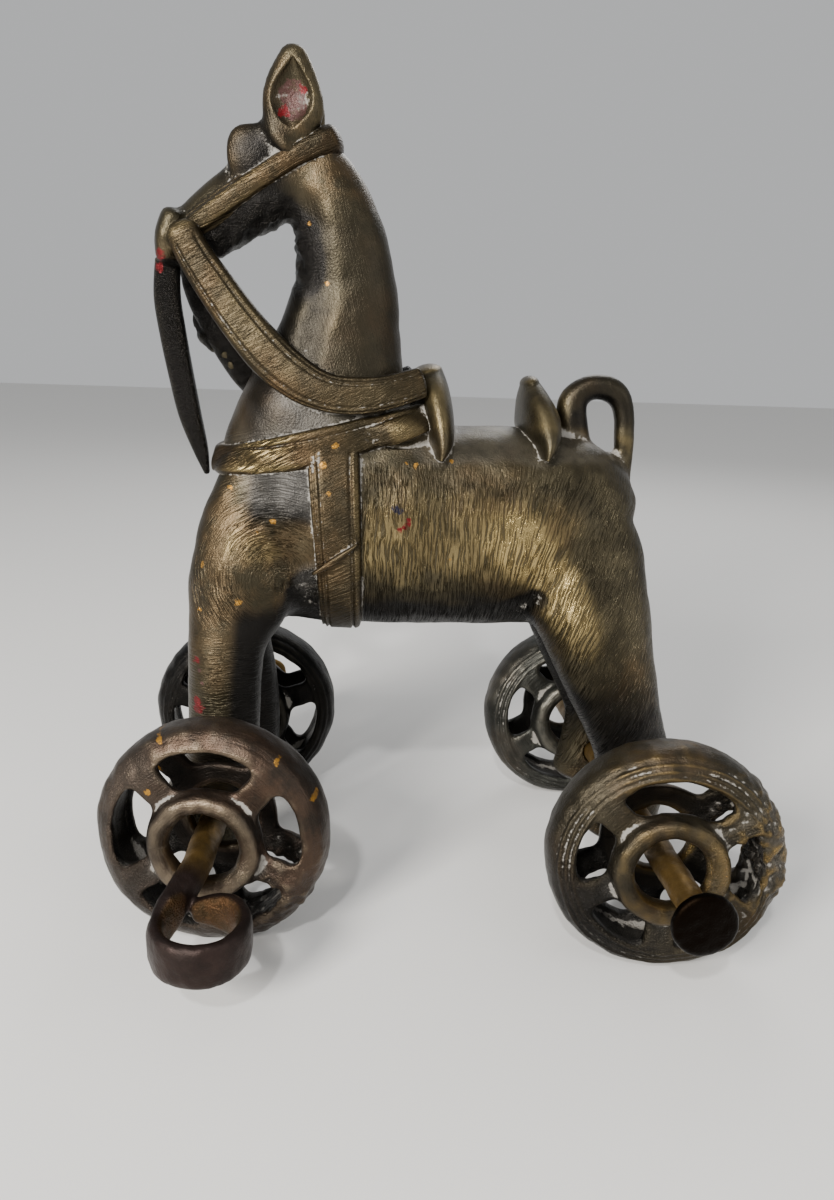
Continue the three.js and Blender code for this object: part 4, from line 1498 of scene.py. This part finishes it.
def build_camera():
    """The camera of the photograph, fitted to the wheels and the horse."""
    data = bpy.data.cameras.new("camera")
    cam = bpy.data.objects.new("camera", data)
    bpy.context.scene.collection.objects.link(cam)
    ahead = Vector((math.sin(YAW), math.cos(YAW), 0))
    forward = ahead * math.cos(PITCH) - Vector((0, 0, math.sin(PITCH)))
    level = Vector((math.cos(YAW), -math.sin(YAW), 0))
    right = level * math.cos(ROLL) + level.cross(forward) * math.sin(ROLL)
    turn = Matrix((right, right.cross(forward), -forward)).transposed()
    cam.matrix_world = Matrix.LocRotScale(CAMERA_PLACE, turn, None)
    data.sensor_fit = "AUTO"
    data.sensor_width = SENSOR
    data.lens = FOCAL_PIXELS / PHOTO_HEIGHT * SENSOR
    data.clip_start = 0.01
    bpy.context.scene.camera = cam


def lamp(name, place, size, energy, colour=(1, 1, 1)):
    """A square soft light that faces the horse."""
    light = bpy.data.lights.new(name, "AREA")
    light.energy, light.size, light.color = energy, size, colour
    piece = bpy.data.objects.new(name, light)
    bpy.context.scene.collection.objects.link(piece)
    piece.location = place
    piece.rotation_euler = (LIT_POINT - Vector(place)).to_track_quat("-Z", "Y").to_euler()


def build_stage(stage):
    """A pale floor, an even sky and four soft lights."""
    x = y = FLOOR_HALF
    corners = [[-x, -y, 0], [x, -y, 0], [x, y, 0], [-x, y, 0]]
    floor = new_object("floor", (corners, [[0, 1, 2, 3]]))
    material, tree = new_material("Pale floor")
    put(stage.floor, tree.nodes["Principled BSDF"].inputs["Base Color"])
    put(0.8, tree.nodes["Principled BSDF"].inputs["Roughness"])
    floor.data.materials.append(material)
    world = bpy.data.worlds.new("Studio")
    world.use_nodes = True
    put(SKY, world.node_tree.nodes["Background"].inputs["Color"])
    put(stage.sky, world.node_tree.nodes["Background"].inputs["Strength"])
    bpy.context.scene.world = world
    lamp("key", (-0.35, -0.5, 0.32), 0.18, stage.key, WARM_LIGHT)
    lamp("glint", (-0.15, -0.5, 0.5), 0.03, stage.glint)
    lamp("fill", (0.5, -0.4, 0.25), 0.4, stage.fill)
    lamp("rim", (0.2, 0.5, 0.5), 0.3, stage.rim)


# Settings, operators and panel

def colour_setting(name, description, default):
    """A colour that the panel shows."""
    return bpy.props.FloatVectorProperty(
        name=name, description=description, default=(*default, 1), size=4, min=0, max=1, subtype="COLOR"
    )


def length_setting(name, description, millimetres):
    """A length that the panel shows."""
    return bpy.props.FloatProperty(
        name=name, description=description, default=millimetres * MM, min=0.1 * MM, precision=5,
        unit="LENGTH",
    )


def power_setting(name, description, watts):
    """A light's power that the panel shows."""
    return bpy.props.FloatProperty(
        name=name, description=description, default=watts, min=0, unit="POWER"
    )


class BrassHorseForms(bpy.types.PropertyGroup):
    """How finely the pieces are made, and how uneven they are."""

    horse_grain: length_setting("Horse grain", "Size of the squares of the horse's skin", 0.72)
    wheel_grain: length_setting("Wheel grain", "Size of the squares of a wheel's skin", 0.34)
    axle_grain: length_setting("Axle grain", "Size of the squares of an axle's skin", 0.35)
    unevenness: bpy.props.FloatProperty(
        name="Unevenness", description="Share of the hand-made unevenness of the real surfaces",
        default=1, min=0, soft_max=2, subtype="FACTOR",
    )


class BrassHorseColours(bpy.types.PropertyGroup):
    """The colours of the metals."""

    horse_patina: colour_setting("Horse patina", "Brown patina of the horse", (0.062, 0.051, 0.029))
    horse_rubbed: colour_setting("Horse rubbed", "Rubbed brass on the horse", (0.36, 0.27, 0.12))
    strap_patina: colour_setting("Strap patina", "Patina of the straps", (0.046, 0.035, 0.018))
    strap_rubbed: colour_setting("Strap rubbed", "Rubbed brass on the straps", (0.27, 0.205, 0.095))
    front_left_patina: colour_setting("Front left patina", "Reddish wheel", (0.048, 0.036, 0.027))
    front_left_rubbed: colour_setting("Front left rubbed", "Its rubbed metal", (0.20, 0.16, 0.11))
    rear_left_patina: colour_setting("Rear left patina", "Olive wheel", (0.046, 0.038, 0.024))
    rear_left_rubbed: colour_setting("Rear left rubbed", "Its rubbed metal", (0.20, 0.135, 0.05))
    # The front right wheel's two colours are darkened as painted shadow: that wheel stands in shade.
    front_right_patina: colour_setting("Front right patina", "Nearly black wheel", (0.006, 0.0055, 0.0045))
    front_right_rubbed: colour_setting("Front right rubbed", "Its rubbed metal", (0.05, 0.045, 0.035))
    rear_right_patina: colour_setting("Rear right patina", "Grey-green wheel", (0.052, 0.052, 0.045))
    rear_right_rubbed: colour_setting("Rear right rubbed", "Its rubbed metal", (0.20, 0.185, 0.15))
    rod: colour_setting("Rod", "Golden-brown iron of the axles' shanks", (0.20, 0.122, 0.036))
    eye: colour_setting("Eye", "Purple-brown iron of the pull eye", (0.028, 0.017, 0.014))
    head: colour_setting("Head", "Nearly black iron of the broad head", (0.004, 0.0025, 0.0015))


class BrassHorseStage(bpy.types.PropertyGroup):
    """The floor and the lights."""

    floor: colour_setting("Floor", "Pale floor", (0.72, 0.71, 0.69))
    sky: bpy.props.FloatProperty(
        name="Sky", description="Strength of the soft light all round", default=0.65, min=0
    )
    key: power_setting("Key light", "Power of the large light at the front left", 8)
    glint: power_setting("Glint", "Power of the small light that picks out the chasing", 2)
    fill: power_setting("Fill light", "Power of the broad light from the right", 1)
    rim: power_setting("Rim light", "Power of the light from behind", 1.2)


class BrassHorseSettings(bpy.types.PropertyGroup):
    """Everything that the panel shows."""

    forms: bpy.props.PointerProperty(
        type=BrassHorseForms, name="Forms", description="Sizes of the surfaces"
    )
    colours: bpy.props.PointerProperty(
        type=BrassHorseColours, name="Colours", description="Colours of the metals"
    )
    stage: bpy.props.PointerProperty(
        type=BrassHorseStage, name="Stage", description="Floor and lights"
    )


class BRASSHORSE_OT_stage(bpy.types.Operator):
    """Make the camera, the pale floor and the soft lights"""

    bl_idname = "brass_horse.stage"
    bl_label = "Stage"

    def execute(self, context):
        build_camera()
        build_stage(context.scene.brass_horse.stage)
        return {"FINISHED"}


class BRASSHORSE_OT_horse(bpy.types.Operator):
    """Make the cast horse with its straps and saddle bows"""

    bl_idname = "brass_horse.horse"
    bl_label = "Horse"

    def execute(self, context):
        settings = context.scene.brass_horse
        forms = settings.forms
        cast_horse(forms.horse_grain, forms.unevenness, horse_materials(settings.colours))
        return {"FINISHED"}


class BRASSHORSE_OT_wheels(bpy.types.Operator):
    """Make the four cage wheels"""

    bl_idname = "brass_horse.wheels"
    bl_label = "Wheels"

    def execute(self, context):
        settings = context.scene.brass_horse
        forms, colours = settings.forms, settings.colours
        for node, spec in WHEELS.items():
            place = spec["body"].removesuffix("_wheel")
            tones = patina(getattr(colours, place + "_patina"), getattr(colours, place + "_rubbed"))
            marks = [(GOLD_FLAKE, WHEEL_FLAKES)] if node == "wheel_front_left" else ()
            material = brass("Brass of " + node, tones, lines=0.2, roughness=0.42, marks=marks)
            cast_wheel(node, spec, forms.wheel_grain, forms.unevenness, material)
        return {"FINISHED"}


class BRASSHORSE_OT_axles(bpy.types.Operator):
    """Make the two forged axles"""

    bl_idname = "brass_horse.axles"
    bl_label = "Axles"

    def execute(self, context):
        settings = context.scene.brass_horse
        forms = settings.forms
        material = forged_iron(settings.colours)
        for node, parts in (("axle_front", front_axle()), ("axle_rear", rear_axle())):
            forge_axle(node, parts, forms.axle_grain, forms.unevenness, material)
        return {"FINISHED"}


OPERATORS = (BRASSHORSE_OT_stage, BRASSHORSE_OT_horse, BRASSHORSE_OT_wheels, BRASSHORSE_OT_axles)


class BRASSHORSE_PT_panel(bpy.types.Panel):
    """The sizes and colours, and a button for each group of pieces"""

    bl_label = "Brass horse"
    bl_space_type = "VIEW_3D"
    bl_region_type = "UI"
    bl_category = "Brass horse"

    def draw(self, context):
        settings = context.scene.brass_horse
        for group in (settings.forms, settings.colours, settings.stage):
            box = self.layout.box()
            for name in group.__annotations__:
                box.prop(group, name)
        for operator in OPERATORS:
            self.layout.operator(operator.bl_idname)


CLASSES = (
    BrassHorseForms,
    BrassHorseColours,
    BrassHorseStage,
    BrassHorseSettings,
    *OPERATORS,
    BRASSHORSE_PT_panel,
)


def register():
    for kind in CLASSES:
        bpy.utils.register_class(kind)
    bpy.types.Scene.brass_horse = bpy.props.PointerProperty(type=BrassHorseSettings)


def unregister():
    del bpy.types.Scene.brass_horse
    for kind in reversed(CLASSES):
        bpy.utils.unregister_class(kind)


def main():
    """Builds everything in order."""
    register()
    bpy.ops.brass_horse.stage()
    bpy.ops.brass_horse.horse()
    bpy.ops.brass_horse.wheels()
    bpy.ops.brass_horse.axles()


if __name__ == "__main__":
    main()
